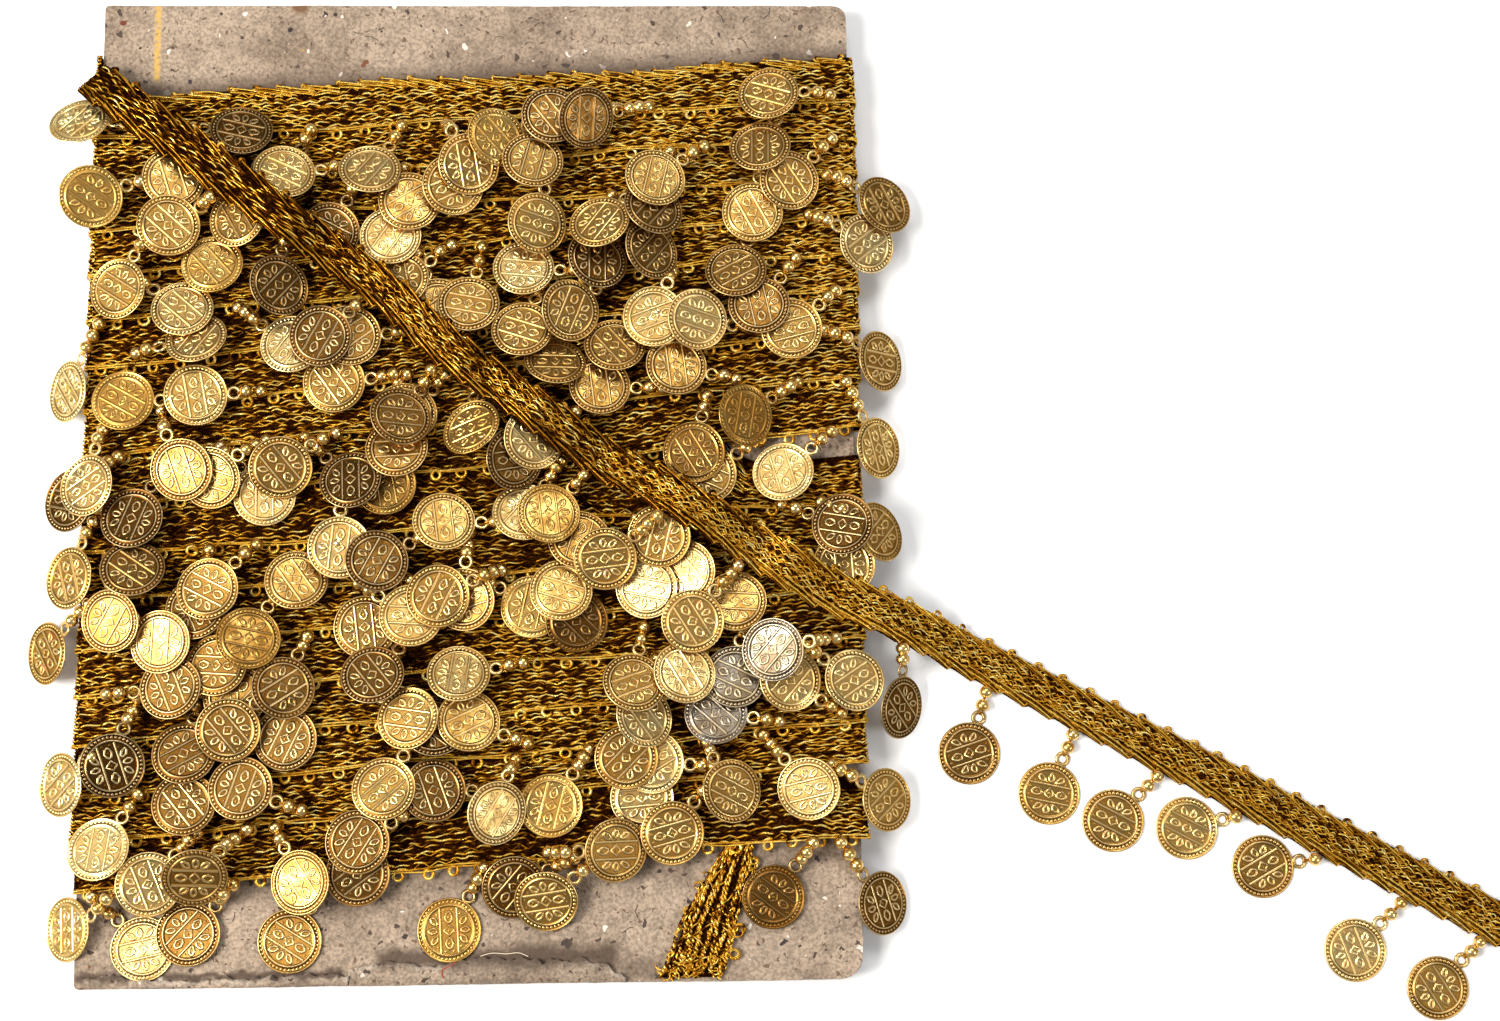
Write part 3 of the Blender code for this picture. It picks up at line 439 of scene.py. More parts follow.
coin_metal, tree, inputs = start_material("coin_metal", 1.0, 0.3)
inputs["Specular Tint"].default_value = COIN_GLANCE
tone = ramp(tree, read_number(tree, "tone"), COIN_TONES)
clean = patches(tree, 220.0, 0.42, 0.62)
worn = mix(tree, clean, darken(tree, tone, WORN_SHADE), tone)
raised = read_number(tree, "raised")
# Painted shade at the foot of each raised line.
out_of_foot_shade = map_range(tree, raised, 0.0, 0.7, 0.0, 1.0)
field = mix(tree, out_of_foot_shade, darken(tree, worn, FOOT_SHADE), worn)
# Painted highlight on the crest of each raised line.
crest = map_range(tree, raised, 0.75, 1.0, 0.0, 0.36)
tree.links.new(mix(tree, crest, field, CREST_HIGHLIGHT), inputs["Base Color"])
tree.links.new(map_range(tree, clean, 0.0, 1.0, 0.42, 0.27), inputs["Roughness"])
grain(tree, inputs, 1400.0, 0.00005, 0.5)

# %% Bead metal
BEAD_DULL = (0.58, 0.35, 0.09)
BEAD_BRIGHT = (0.95, 0.68, 0.27)

bead_metal, tree, inputs = start_material("bead_metal", 1.0, 0.24)
clean = patches(tree, 500.0, 0.4, 0.6)
tree.links.new(mix(tree, clean, BEAD_DULL, BEAD_BRIGHT), inputs["Base Color"])
tree.links.new(map_range(tree, clean, 0.0, 1.0, 0.3, 0.2), inputs["Roughness"])

# %% Gold thread
THREAD_TONES = (
    (0.0, (0.012, 0.003, 0.0002)),
    (0.3, (0.13, 0.040, 0.0015)),
    (0.55, (0.74, 0.36, 0.028)),
    (0.8, (1.0, 0.66, 0.105)),
    (1.0, (1.0, 0.80, 0.27)),
)
THREAD_GLANCE = (1.0, 0.72, 0.32, 1.0)
THREAD_SHADE = (0.62, 0.50, 0.32)

thread_metal, tree, inputs = start_material("gold_thread", 0.65, 0.35)
inputs["Specular IOR Level"].default_value = 0.0
inputs["Specular Tint"].default_value = THREAD_GLANCE
tone = ramp(tree, read_number(tree, "tone"), THREAD_TONES)
glint = patches(tree, 900.0, 0.4, 0.6)
dull = darken(tree, tone, THREAD_SHADE)
tree.links.new(mix(tree, glint, dull, tone), inputs["Base Color"])
tree.links.new(map_range(tree, glint, 0.0, 1.0, 0.45, 0.2), inputs["Roughness"])
grain(tree, inputs, 2600.0, 0.0001, 0.6)

# %% Ground under the threads
# The ground is the lace's web, painted near-black to stand for the shade in the net's holes.
GROUND_DARK = (0.012, 0.003, 0.0004)
GROUND_FLECK = (0.085, 0.030, 0.003)

web_cloth, tree, inputs = start_material("lace_ground", 0.0, 0.9)
inputs["Specular IOR Level"].default_value = 0.0
fleck = patches(tree, 1300.0, 0.55, 0.75)
tree.links.new(mix(tree, fleck, GROUND_DARK, GROUND_FLECK), inputs["Base Color"])
grain(tree, inputs, 2200.0, 0.0003, 0.8)

# %% [markdown]
# ## Where the charms lie
# Every charm of the frame is a coin disc on a four-sided strand. The coin's face is the only
# flat patch of its size in the mesh, so it is found by its area. From its rim the mesh is
# followed outwards ring by ring: first the lug, then the bead, then the root at the lace.

# %% Read the charms from the frame
COIN_R = 6.75
SOLID_COIN_T = 0.5
FACE_AREA = (124.0, 138.0)
SAME_POINT = 0.01
SAME_PLANE = math.radians(0.4)
NEAR_RIM = 0.03
NEAR_FACE = 0.1


def node_faces(node, join_flat=True):
    """A node's points in card millimetres, and its flat faces as lists of points."""
    bm = bmesh.new()
    bm.from_mesh(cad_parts[node].data)
    bmesh.ops.remove_doubles(bm, verts=bm.verts[:], dist=SAME_POINT * MM)
    if join_flat:
        bmesh.ops.dissolve_limit(
            bm, angle_limit=SAME_PLANE, verts=bm.verts[:], edges=bm.edges[:])
    bm.verts.index_update()
    points = (np.array([vert.co for vert in bm.verts]) - CORNER) / MM
    faces = [(face.calc_area() / MM ** 2, np.array(face.normal),
              [vert.index for vert in face.verts]) for face in bm.faces]
    bm.free()
    return points, faces


def read_charms(node):
    """Place and lean of each coin of a node, and the stops of its strand."""
    points, faces = node_faces(node)
    near = {}
    for _, _, corners in faces:
        for corner, before in zip(corners, corners[-1:] + corners[:-1]):
            near.setdefault(corner, set()).add(before)
            near.setdefault(before, set()).add(corner)
    charms = []
    for area, out, corners in faces:
        if out[2] < 0 or not FACE_AREA[0] < area < FACE_AREA[1]:
            continue
        centre = points[corners].mean(axis=0) - out * SOLID_COIN_T
        height = (points - centre) @ out
        radius = np.linalg.norm(points - centre - height[:, None] * out, axis=1)
        in_disc = (height > -NEAR_FACE) & (height < SOLID_COIN_T + NEAR_FACE)
        known = set(np.flatnonzero((abs(radius - COIN_R) < NEAR_RIM) & in_disc).tolist())
        ring, stops = known, []
        for _ in range(3):
            ring = set().union(*(near[corner] for corner in ring)) - known
            known = known | ring
            stops.append(points[list(ring)].mean(axis=0))
        along = stops[0] - centre
        along = unit(along - out * (along @ out))
        charms.append(dict(centre=centre, out=out, along=along, bead=stops[1], root=stops[2]))
    return charms


charm_nodes = sorted(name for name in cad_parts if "charms" in name)
charms_of = {name: read_charms(name) for name in charm_nodes}
print("charms read", sum(len(charms) for charms in charms_of.values()))

# %% [markdown]
# ## One coin
# The coin is a thin disc, turned from an outline with a flat rim, a sunk track and a raised
# inner ring. Studs stand in the track. Two bars cross the middle, and between them lie a
# lozenge, leaves and dots of the lesson's own design. Each line has a foot and a flat top, so
# it catches the light on three faces as a stamped line does. The field stays light; the foot
# of each line carries painted shade and its top a painted highlight.

# %% Outline, studs and bars
SEGMENTS = 36
FIELD_Z = 0.24
STUDS = 44
STUD_RING = 5.96
STUD_SIDES = 6
STUD_R = 0.37
STUD_RISE = 0.28
STUD_FOOT = 0.75
BAR_OFFSET = 1.8
BAR_HALF = 4.6
LINE_FOOT = 0.34
LINE_TOP = 0.17
LINE_RISE = 0.2
LINE_SUNK = -0.02
LINE_RAISED = (0.0, 1.0, 1.0, 0.0)
DOT_R = 0.36
DOT_SUNK = 0.01

# Columns: radius, height, raised.
COIN_OUTLINE = (
    (0.0, 0.0, 0.5), (6.62, 0.0, 0.6), (6.75, 0.16, 0.8), (6.64, 0.34, 1.0), (6.46, 0.34, 0.8),
    (6.38, 0.26, 0.05), (5.48, 0.26, 0.0), (5.37, 0.42, 1.0), (5.12, 0.42, 1.0),
    (5.0, FIELD_Z, 0.0), (4.72, FIELD_Z, 0.45), (0.0, FIELD_Z, 0.45),
)
# The same for a coin whose stamped face is hidden: its underside shows, plainer.
UNDER_OUTLINE = (
    (0.0, 0.07, 0.2), (4.5, 0.07, 0.2), (4.75, 0.0, 1.0), (5.0, 0.07, 0.3), (6.15, 0.07, 0.4),
    (6.5, 0.0, 1.0), (6.75, 0.18, 0.9), (6.4, 0.36, 0.9), (0.0, 0.30, 0.5),
)


def raised_line(path, closed=False):
    """A stamped line with a flat top, along a path in the coin's plane."""
    path = np.asarray(path, float)
    ways = ways_along(path, closed)
    sides = unit(np.column_stack([-ways[:, 1], ways[:, 0]]))
    section = ((LINE_FOOT, LINE_SUNK), (LINE_TOP, LINE_RISE),
               (-LINE_TOP, LINE_RISE), (-LINE_FOOT, LINE_SUNK))
    rows = [np.column_stack([path + sides * off, np.full(len(path), FIELD_Z + rise)])
            for off, rise in section]
    quads = skin(len(path), 4, closed).reshape(-1, 4, 4)[:, :3, ::-1]
    points = np.stack(rows, axis=1).reshape(-1, 3)
    return points, quads.reshape(-1, 4), np.tile(LINE_RAISED, len(path))


def stud(x, y, radius, rise, sides=4, foot=0.0):
    """A small pointed boss, fully raised at its tip and as raised as told at its foot."""
    angles = round_angles(sides)
    base = np.column_stack([x + radius * np.cos(angles), y + radius * np.sin(angles),
                            np.full(sides, FIELD_Z - DOT_SUNK)])
    step = np.arange(sides)
    tris = np.column_stack([step, (step + 1) % sides, np.full(sides, sides)])
    return np.vstack([base, (x, y, FIELD_Z + rise)]), tris, np.append(np.full(sides, foot), 1.0)


# %% The coin's ornament
LEAF_POINTS = 8
# Columns: x, y, turn in degrees, half length, half width.
LEAVES = (
    (2.7, 0.0, 0, 1.15, 0.8), (-2.7, 0.0, 0, 1.15, 0.8),
    (0.0, 3.4, 90, 0.95, 0.58), (0.0, -3.4, 90, 0.95, 0.58),
    (1.95, 3.05, 38, 1.0, 0.55), (-1.95, 3.05, 142, 1.0, 0.55),
    (1.95, -3.05, -38, 1.0, 0.55), (-1.95, -3.05, -142, 1.0, 0.55),
)
LOZENGE = ((1.05, 0.0), (0.0, 1.15), (-1.05, 0.0), (0.0, -1.15))
DOTS = (
    (0.0, 0.0), (2.7, 0.0), (-2.7, 0.0), (4.3, 0.85), (4.3, -0.85), (-4.3, 0.85),
    (-4.3, -0.85), (1.0, 2.45), (-1.0, 2.45), (1.0, -2.45), (-1.0, -2.45), (3.35, 2.4),
    (-3.35, 2.4), (3.35, -2.4), (-3.35, -2.4),
)


def leaf(x, y, turn, long, wide):
    """Points round a leaf that is pointed at both ends."""
    angles = round_angles(LEAF_POINTS)
    along = long * np.cos(angles)
    across = wide * np.sin(angles) * abs(np.sin(angles)) ** 0.5
    turn = math.radians(turn)
    return np.column_stack([x + along * math.cos(turn) - across * math.sin(turn),
                            y + along * math.sin(turn) + across * math.cos(turn)])


def stamped_coin():
    """The coin's stamped face: points, quads, tris and raised values."""
    parts = Bin()
    points, quads, tris, raised = turned(COIN_OUTLINE, SEGMENTS)
    parts.add(points, quads, tris, raised=raised)
    loops = [(leaf(*row), True) for row in LEAVES] + [(LOZENGE, True)]
    bars = [([(-BAR_HALF, y), (0.0, y), (BAR_HALF, y)], False) for y in (-BAR_OFFSET, BAR_OFFSET)]
    for path, closed in loops + bars:
        points, quads, raised = raised_line(path, closed)
        parts.add(points, quads=quads, raised=raised)
    bosses = [(x, y, DOT_R, LINE_RISE) for x, y in DOTS]
    for angle in round_angles(STUDS):
        x, y = STUD_RING * math.cos(angle), STUD_RING * math.sin(angle)
        bosses.append((x, y, STUD_R, STUD_RISE, STUD_SIDES, STUD_FOOT))
    for row in bosses:
        points, tris, raised = stud(*row)
        parts.add(points, tris=tris, raised=raised)
    return parts.arrays()


stamped = stamped_coin()
under = turned(UNDER_OUTLINE, SEGMENTS)
print("stamped coin", 2 * len(stamped[1]) + len(stamped[2]), "triangles")

# %% [markdown]
# ## Lug and beads
# The lug is a flat ring at the coin's rim. Above it sit one to three round beads that touch
# each other, threaded on the strand. The strand of the frame gives their line; they are
# lifted where they would sink into the surface.

# %% Lug and bead templates
LUG_R = 1.24
LUG_BAND = 0.44
LUG_T = 0.17
LUG_POINTS = 14
BEAD_R = 1.55
BEAD_LONG = 0.92
BEAD_STEP = 2.9
BEAD_ENDS = 0.16
BEAD_RINGS = 6
BEAD_SEGMENTS = 10


def lug_template():
    """A closed ring with a lozenge section, like a stamped lug."""
    angles = round_angles(LUG_POINTS)
    rows = [np.column_stack([(LUG_R + off) * np.cos(angles), (LUG_R + off) * np.sin(angles),
                             np.full(LUG_POINTS, rise)])
            for off, rise in ((-LUG_BAND, 0), (0, LUG_T), (LUG_BAND, 0), (0, -LUG_T))]
    return np.stack(rows, axis=1).reshape(-1, 3), skin(LUG_POINTS, 4, True)


def bead_template():
    rows = [(BEAD_R * math.sin(angle), -BEAD_R * BEAD_LONG * math.cos(angle), 1.0)
            for angle in np.linspace(BEAD_ENDS, math.pi - BEAD_ENDS, BEAD_RINGS)]
    reach = BEAD_R * BEAD_LONG
    return turned([(0.0, -reach, 1.0), *rows, (0.0, reach, 1.0)], BEAD_SEGMENTS)


lug_points, lug_quads = lug_template()
bead_points, bead_quads, bead_tris, _ = bead_template()
print("bead", 2 * len(bead_quads) + len(bead_tris), "triangles")

# %% One charm
DISH = 0.12
RELIEF_WORN = (0.3, 0.5)
RELIEF_SHARP = (0.75, 1.0)
RELIEF_LEVEL = 0.65
LUG_LIFT = 0.2
LUG_TONE = 0.12
MOST_LUG_TONE = 0.85
LUG_RAISED = 0.9
NO_STOP = 0.5
MOST_BEADS = 3
BEAD_LIFT = 0.35
BEAD_SIZES = (0.93, 1.04)
UNDER_GAP = 0.9
WIRE_START = 0.5
WIRE_R = 0.3
WIRE_TONE = 0.4
CARD_MARGIN = 3
rng = np.random.default_rng(11)


def put(points, centre, first, second, third):
    """Points of a template set in place with three directions."""
    return centre + points[:, :1] * first + points[:, 1:2] * second + points[:, 2:3] * third


def place_on(stops, distance):
    """Point at a distance along a line of stops."""
    lengths = np.linalg.norm(np.diff(stops, axis=0), axis=1)
    ends = np.concatenate(([0], np.cumsum(lengths)))
    index = int(np.clip(np.searchsorted(ends, distance) - 1, 0, len(lengths) - 1))
    way = unit(stops[index + 1] - stops[index])
    return stops[index] + way * (distance - ends[index])


def under_card(place):
    """Whether a point lies below the card, well inside its outline."""
    inside = all(CARD_MARGIN < at < side - CARD_MARGIN
                 for at, side in zip(place, (CARD_W, CARD_H)))
    return inside and place[2] < CARD_BACK


def add_coin(pieces, charm, tone, plain):
    template = under if under_card(charm["centre"]) else stamped
    points, quads, tris, raised = template
    across = np.cross(charm["out"], charm["along"])
    spin = rng.uniform(0, 2 * np.pi)
    bend = rng.normal(0, DISH)
    points = points.copy()
    points[:, 2] += bend * (points[:, 0] ** 2 - points[:, 1] ** 2) / COIN_R ** 2 + abs(bend) * 0.5
    first = charm["along"] * math.cos(spin) + across * math.sin(spin)
    second = np.cross(charm["out"], first)
    keep = rng.uniform(*(RELIEF_WORN if plain else RELIEF_SHARP))
    raised = raised * keep + (1 - keep) * RELIEF_LEVEL
    points = put(points, charm["centre"], first, second, charm["out"])
    pieces.add(points, quads, tris, tone=tone, raised=raised)


def add_strand(pieces, charm, tone, reach):
    """Lug, beads and cord. The cord goes on past its root by the reach."""
    along, out = charm["along"], charm["out"]
    across = np.cross(out, along)
    ring = charm["centre"] + along * (COIN_R + LUG_R) + out * LUG_LIFT
    pieces.add(put(lug_points, ring, along, across, out), quads=lug_quads,
               tone=min(tone + LUG_TONE, MOST_LUG_TONE), raised=LUG_RAISED)
    root = charm["root"] + unit(charm["root"] - charm["bead"]) * reach
    stops = np.array([ring + along * LUG_R, charm["bead"], root])
    if np.linalg.norm(stops[1] - stops[0]) < NO_STOP:
        stops = stops[[0, 2]]
    length = np.linalg.norm(np.diff(stops, axis=0), axis=1).sum()
    beads = int(np.clip(round(length / BEAD_STEP), 1, MOST_BEADS))
    places = []
    for index in range(beads):
        place = place_on(stops, (index + 0.5) * length / beads)
        ceiling = CARD_BACK - UNDER_GAP - BEAD_R if under_card(place) else np.inf
        place[2] = min(max(place[2] + BEAD_LIFT, BEAD_R), ceiling)
        places.append(place)
    wire = np.array([stops[0] - along * WIRE_START, *places, stops[-1]])
    ways = unit(np.gradient(wire, axis=0))
    for place, way in zip(places, ways[1:-1]):
        side = unit(np.cross(way, (0.0, 0.1, 1.0)))
        size = rng.uniform(*BEAD_SIZES)
        points = put(bead_points * size, place, side, np.cross(way, side), way)
        pieces.add(points, bead_quads, bead_tris, slot=1)
    points, quads = tube(wire, UP, WIRE_R, sides=4)
    pieces.add(points, quads=quads, slot=2, tone=WIRE_TONE)


# %% [markdown]
# ## Tone of each coin
# Most coins are gold with a little variety. A few single coins of the photo stand out, very
# light, grey or nearly without relief, so they are named by their place on the card. The
# coins at the lower left are duller than the rest.

# %% Put the charms in place
PALE_COINS = ((168.3, 158.8), (43.3, 136.3), (-5.0, 127.0))
GREY_COINS = ((138.3, 63.6), (146.3, 69.0), (134.2, 56.0))
WORN_COINS = (
    (0.6, 168.0), (26.0, 154.0), (87.5, 181.5), (7.7, 124.1), (130.0, 112.0), (149.1, 107.6),
    (134.2, 56.0), (5.8, 29.0),
)
SAME_COIN = 3.0
PALE_TONE = 0.9
GREY_TONE = 1.0
DULL_SHARE = 0.17
DULL_TONES = (0.08, 0.3)
DULL_UP_TO = 20
PALE_SHARE = 0.12
PALE_TONES = (0.78, 0.9)
GOLD_TONE = 0.6
GOLD_SPREAD = 0.13
GOLD_TONES = (0.25, 0.82)
TAIL_REACH = 1.5
BESIDE_TONE = -0.09
BESIDE_FROM = 5
DULL_CORNER = (25.0, 40.0)
DULL_REACH = 55.0
CORNER_TONE = 0.12
PLAIN_SHARE = 0.06


def named(charm, places):
    gaps = [math.dist(charm["centre"][:2], place) for place in places]
    return min(gaps) < SAME_COIN


def charm_tone(charm):
    if named(charm, PALE_COINS):
        return PALE_TONE
    if named(charm, GREY_COINS):
        return GREY_TONE
    draw = rng.random()
    past_card = charm["centre"][0] - CARD_W
    if draw < DULL_SHARE and past_card < DULL_UP_TO:
        return rng.uniform(*DULL_TONES)
    if draw > 1 - PALE_SHARE:
        return rng.uniform(*PALE_TONES)
    near = math.exp(-(math.dist(charm["centre"][:2], DULL_CORNER) / DULL_REACH) ** 2)
    beside = BESIDE_TONE if past_card > BESIDE_FROM else 0.0
    tone = rng.normal(GOLD_TONE + beside - CORNER_TONE * near, GOLD_SPREAD)
    return float(np.clip(tone, *GOLD_TONES))


for name in charm_nodes:
    pieces = Bin()
    for charm in charms_of[name]:
        tone = charm_tone(charm)
        add_coin(pieces, charm, tone, named(charm, WORN_COINS) or rng.random() < PLAIN_SHARE)
        add_strand(pieces, charm, tone, TAIL_REACH if name.startswith("tail") else 0.0)
    made = pieces.make(name.replace("charms", "coins"), (coin_metal, bead_metal, thread_metal))
    dress(made, "charms", name)

# %% [markdown]
# ## The wound lace
# The lace goes round the card in one long band, seventeen times, and each turn's lower edge
# rides over the turn below. It is drawn as a ground with rows of thread on it, worked out
# along stations once round the card; the ground is the lace's web, painted near-black to
# stand for the shade in the net's holes. The two edges of a turn come from the same short
# table as the solids: the height of its lower edge at the card's two sides.

# %% The band's edges
TURNS = (
    (20.0, 30.0), (30.2, 46.0), (40.3, 54.0), (50.5, 62.0), (60.6, 72.0), (70.8, 82.0),
    (81.0, 92.0), (91.0, 102.0), (101.3, 117.5), (111.5, 129.0), (121.6, 140.0), (131.8, 148.5),
    (142.0, 157.0), (152.1, 166.0), (162.3, 174.5), (172.5, 183.0), (182.6, 192.0), (192.7, 201.5),
)
TURN_COUNT = len(TURNS) - 1
TOP_PITCH = 10.0
LACE_W = 10.8
SHINGLE = 0.6
GAP = 0.3
SIDE_STEPS = 7
BACK, FRONT, NEXT = 0, 1, 2
# Where the board shows above a turn: the x from which, and the lace's width there.
OPEN_PLACES = {0: (158.0, 10.2), 7: (141.0, 9.2)}
OPEN_SOFT = 4.0
# Columns: height of a slow wave in the edge, its rate along the card and with the turn.
EDGE_WAVES = ((0.45, 0.061, 2.1), (0.3, 0.17, 1.3))


def turn_line(turn):
    if turn < len(TURNS):
        return TURNS[turn]
    return tuple(height + TOP_PITCH for height in TURNS[-1])


def lower_edge(turn, path):
    """Height of a turn's lower edge at each station, with a slow unevenness."""
    x, part = path[:, 0], path[:, 4]
    along = x / CARD_W
    left, right = turn_line(turn)
    next_left, next_right = turn_line(turn + 1)
    heights = np.select(
        [part == FRONT, part == BACK],
        [left + (right - left) * along, next_left + (right - next_left) * along],
        next_left + (next_right - next_left) * along)
    on = turn + np.select([part == FRONT, part == BACK], [0.0 * x, 1 - along], 1.0)
    for size, rate, turn_rate in EDGE_WAVES:
        heights = heights + size * np.sin(rate * x + turn_rate * on)
    return heights


def turn_edges(turn, path):
    """Lower and upper edge of a turn: it reaches to the next one but for the open places."""
    low = lower_edge(turn, path)
    high = lower_edge(turn + 1, path)
    if turn == TURN_COUNT - 1:
        high = np.minimum(high, low + LACE_W)
    if turn in OPEN_PLACES:
        start, width = OPEN_PLACES[turn]
        share = np.clip((path[:, 0] - start) / OPEN_SOFT + 1, 0, 1) * (path[:, 4] != NEXT)
        high = high + (np.minimum(high, low + width) - high) * share
    return low, high


def band_path(front_count, back_count):
    """Stations once round the card: x, z of the board's face, outward way, part."""
    rows = [(x, CARD_FRONT, 0.0, 1.0, FRONT) for x in np.linspace(0, CARD_W, front_count)]

    def bend(x, z, start, part):
        angles = np.radians(start - np.linspace(15, 90, SIDE_STEPS))
        rows.extend((x, z, math.cos(angle), math.sin(angle), part) for angle in angles)

    bend(CARD_W, CARD_FRONT, 90, FRONT)
    bend(CARD_W, CARD_BACK, 0, BACK)
    rows += [(x, CARD_BACK, 0.0, -1.0, BACK) for x in np.linspace(CARD_W, 0, back_count)]
    bend(0.0, CARD_BACK, 270, BACK)
    bend(0.0, CARD_FRONT, 180, NEXT)
    return np.array(rows)


def band_at(path, edges, share, lift):
    """Points at a share of the band's width and a lift off it, and the ways outwards."""
    x, z, out_x, out_z, _ = path.T
    low, high = edges
    height = GAP + SHINGLE * (1 - share) + lift
    points = np.column_stack([x + out_x * height, low + (high - low) * share, z + out_z * height])
    return points, np.column_stack([out_x, 0 * x, out_z])


# %% Ground of the band
WEB_LOW = 0.02
WEB_T = 0.55
TUCK = 1.0

pieces = Bin()
path = band_path(16, 8)
for turn in range(TURN_COUNT):
    edges = turn_edges(turn, path)
    tucked = 1 + TUCK * (turn < TURN_COUNT - 1) / (edges[1] - edges[0])
    section = [(tucked, WEB_LOW), (0.5, WEB_LOW), (0.0, WEB_LOW),
               (0.0, WEB_T), (0.5, WEB_T), (tucked, WEB_T)]
    points, quads = slab([band_at(path, edges, share, lift)[0] for share, lift in section])
    pieces.add(points, quads=quads)
dress(pieces.make("lace_ground", (web_cloth,)), "lace", "wound_lace")

# %% [markdown]
# ## Threads
# The lace is a net of long narrow cells. Each row is a thread that sways to both sides, and
# the next row sways the other way, so the two meet once per stitch, one over the other. The
# thread is painted lighter where it rises and darker where it dips, as painted light and
# shade, and painted glints wander along it, so nothing is quite even. Thinner threads zigzag
# between some rows. On the card's back the stations are wider apart, because little of it is
# ever seen.

# %% How a thread wanders
STITCH = 4.4
THREAD_R = 0.205
SWAY = 0.19
RISE = 0.17
# Painted shade on the lace: where coins crowd, towards the left and below the next turn.
CROWD_REACH = 13.0
CROWD_FREE = 1.3
CROWD_SHADE = 0.18
MOST_SHADE = 0.5
LEFT_SHADE = 0.1
LEFT_REACH = 70.0
SLIT_SHADE = 0.34
SLIT_FROM = 0.8
OUT_OF_STEP = 0.035
UNEVEN_PACE = 0.25
UNEVEN = 0.09
UNEVEN_LIFT = 0.04
UNEVEN_R = 0.15
ROW_TONE = 0.65
# Painted light and shade: a thread is lighter where it rises and darker where it dips.
RISE_LIGHT_TONE = 0.28
# Painted glints: the tone that wanders along threads and links stands for highlights on the film.
DRIFT_GLINT_TONE = 0.38
LINK_TONE = 0.4
LINK_R = 0.15
LINK_GLINT_TONE = 0.18

coin_places = np.array([charm["centre"][:2] for name in charm_nodes if not name.startswith("back")
                        for charm in charms_of[name]])


def crowd_shade(points):
    """How much painted shade darkens the lace where coins lie thick about it and towards the
    card's left side.
    """
    gaps = np.linalg.norm(points[:, None, :2] - coin_places, axis=2)
    crowd = np.exp(-(gaps / CROWD_REACH) ** 2).sum(axis=1)
    left = LEFT_SHADE * np.clip(1 - points[:, 0] / LEFT_REACH, 0, 1)
    return left + np.clip((crowd - CROWD_FREE) * CROWD_SHADE, 0, MOST_SHADE)


def drift(count):
    """Random numbers along a thread that change softly."""
    return np.convolve(rng.normal(0, 1, count + 2), (0.4, 0.8, 0.4), "valid")


def pace_of(count, stitch=STITCH):
    """How many stitches have been made at each station, in uneven stitches."""
    return np.cumsum((1 + rng.normal(0, UNEVEN_PACE, count)) / stitch) + rng.random()


def add_thread(pieces, points, ups, radius, tone, sides=3):
    made, quads = tube(points, ups, radius, sides)
    tone = np.broadcast_to(np.clip(tone, 0, 1), len(points))
    pieces.add(made, quads=quads, tone=np.repeat(tone, sides))


def add_row(pieces, place, pace, row, share, width, lift, shade=None,
            wide=SWAY, radius=THREAD_R):
    """One lengthwise row. The place function gives points at a share and a lift."""
    count = len(pace)
    slip = np.cumsum(rng.normal(0, OUT_OF_STEP, count))
    sway = np.sin(2 * np.pi * (pace + 0.5 * (row % 2) + slip + UNEVEN * drift(count)))
    off = (wide * sway + UNEVEN * drift(count)) / width
    points, ups = place(share + off, lift + RISE * sway + UNEVEN_LIFT * drift(count))
    if shade is None:
        # Painted shade where coins crowd and just below the next turn's lower edge.
        slit = max(0.0, share - SLIT_FROM) / (1 - SLIT_FROM)
        shade = crowd_shade(points) + SLIT_SHADE * slit
    # The row's tone: painted shade, painted light by its rise and painted glints along it.
    tone = ROW_TONE - shade + RISE_LIGHT_TONE * sway + DRIFT_GLINT_TONE * drift(count)
    add_thread(pieces, points, ups, radius * (1 + UNEVEN_R * drift(count)), tone)


def add_links(pieces, place, count, low_share, high_share, lift, tone=LINK_TONE):
    """A thread that zigzags between two rows."""
    side = (np.arange(count) + rng.integers(0, 2)) % 2
    share = low_share + (high_share - low_share) * (side + rng.normal(0, 0.15, count))
    points, ups = place(share, lift + rng.normal(0, 0.05, count))
    add_thread(pieces, points, ups, LINK_R, tone + LINK_GLINT_TONE * drift(count))


# %% Threads of the turns
ROWS = 13
FRONT_STEP = 0.8
BACK_STEP = 3.0
LINK_STEP = 1.7
ROW_LIFT = WEB_T + 0.16
LINK_SUNK = 0.06
PIECES = {"lace_threads_low": range(0, 6), "lace_threads_middle": range(6, 12),
          "lace_threads_high": range(12, TURN_COUNT)}

row_path = band_path(int(CARD_W / FRONT_STEP), int(CARD_W / BACK_STEP))
link_count = int(CARD_W / LINK_STEP)
link_path = band_path(link_count, 2)[:link_count]
for name, turns in PIECES.items():
    pieces = Bin()
    for turn in turns:
        edges = turn_edges(turn, row_path)
        pace = pace_of(len(row_path))
        for row in range(ROWS):
            add_row(pieces, partial(band_at, row_path, edges), pace, row,
                    (row + 0.5) / ROWS, edges[1] - edges[0], ROW_LIFT)
        link_place = partial(band_at, link_path, turn_edges(turn, link_path))
        for row in range(0, ROWS - 1, 2):
            add_links(pieces, link_place, link_count,
                      (row + 0.5) / ROWS, (row + 1.5) / ROWS, ROW_LIFT - LINK_SUNK)
    dress(pieces.make(name, (thread_metal,)), "lace")

# %% [markdown]
# ## Cords and picots
# Two smooth cords run along the lower edge of every turn, and little rings of thread, the
# picots, hang below them every 6 mm. The charms are tied to those rings. The topmost turn
# shows its upper edge too, where long stitches slant down from small knots.

# %% Cords and picots of the turns
CORD_R = 0.21
CORD_STEP = 2.5
PICOT_STEP = 5.9
PICOT_R = 1.02
PICOT_WIRE = 0.4
PICOT_POINTS = 11
RING_BELOW = 0.75
KNOT_R = 0.5
KNOT_WIRE = 0.28
EDGE_STITCH = 8.0
EDGE_POINTS = 6
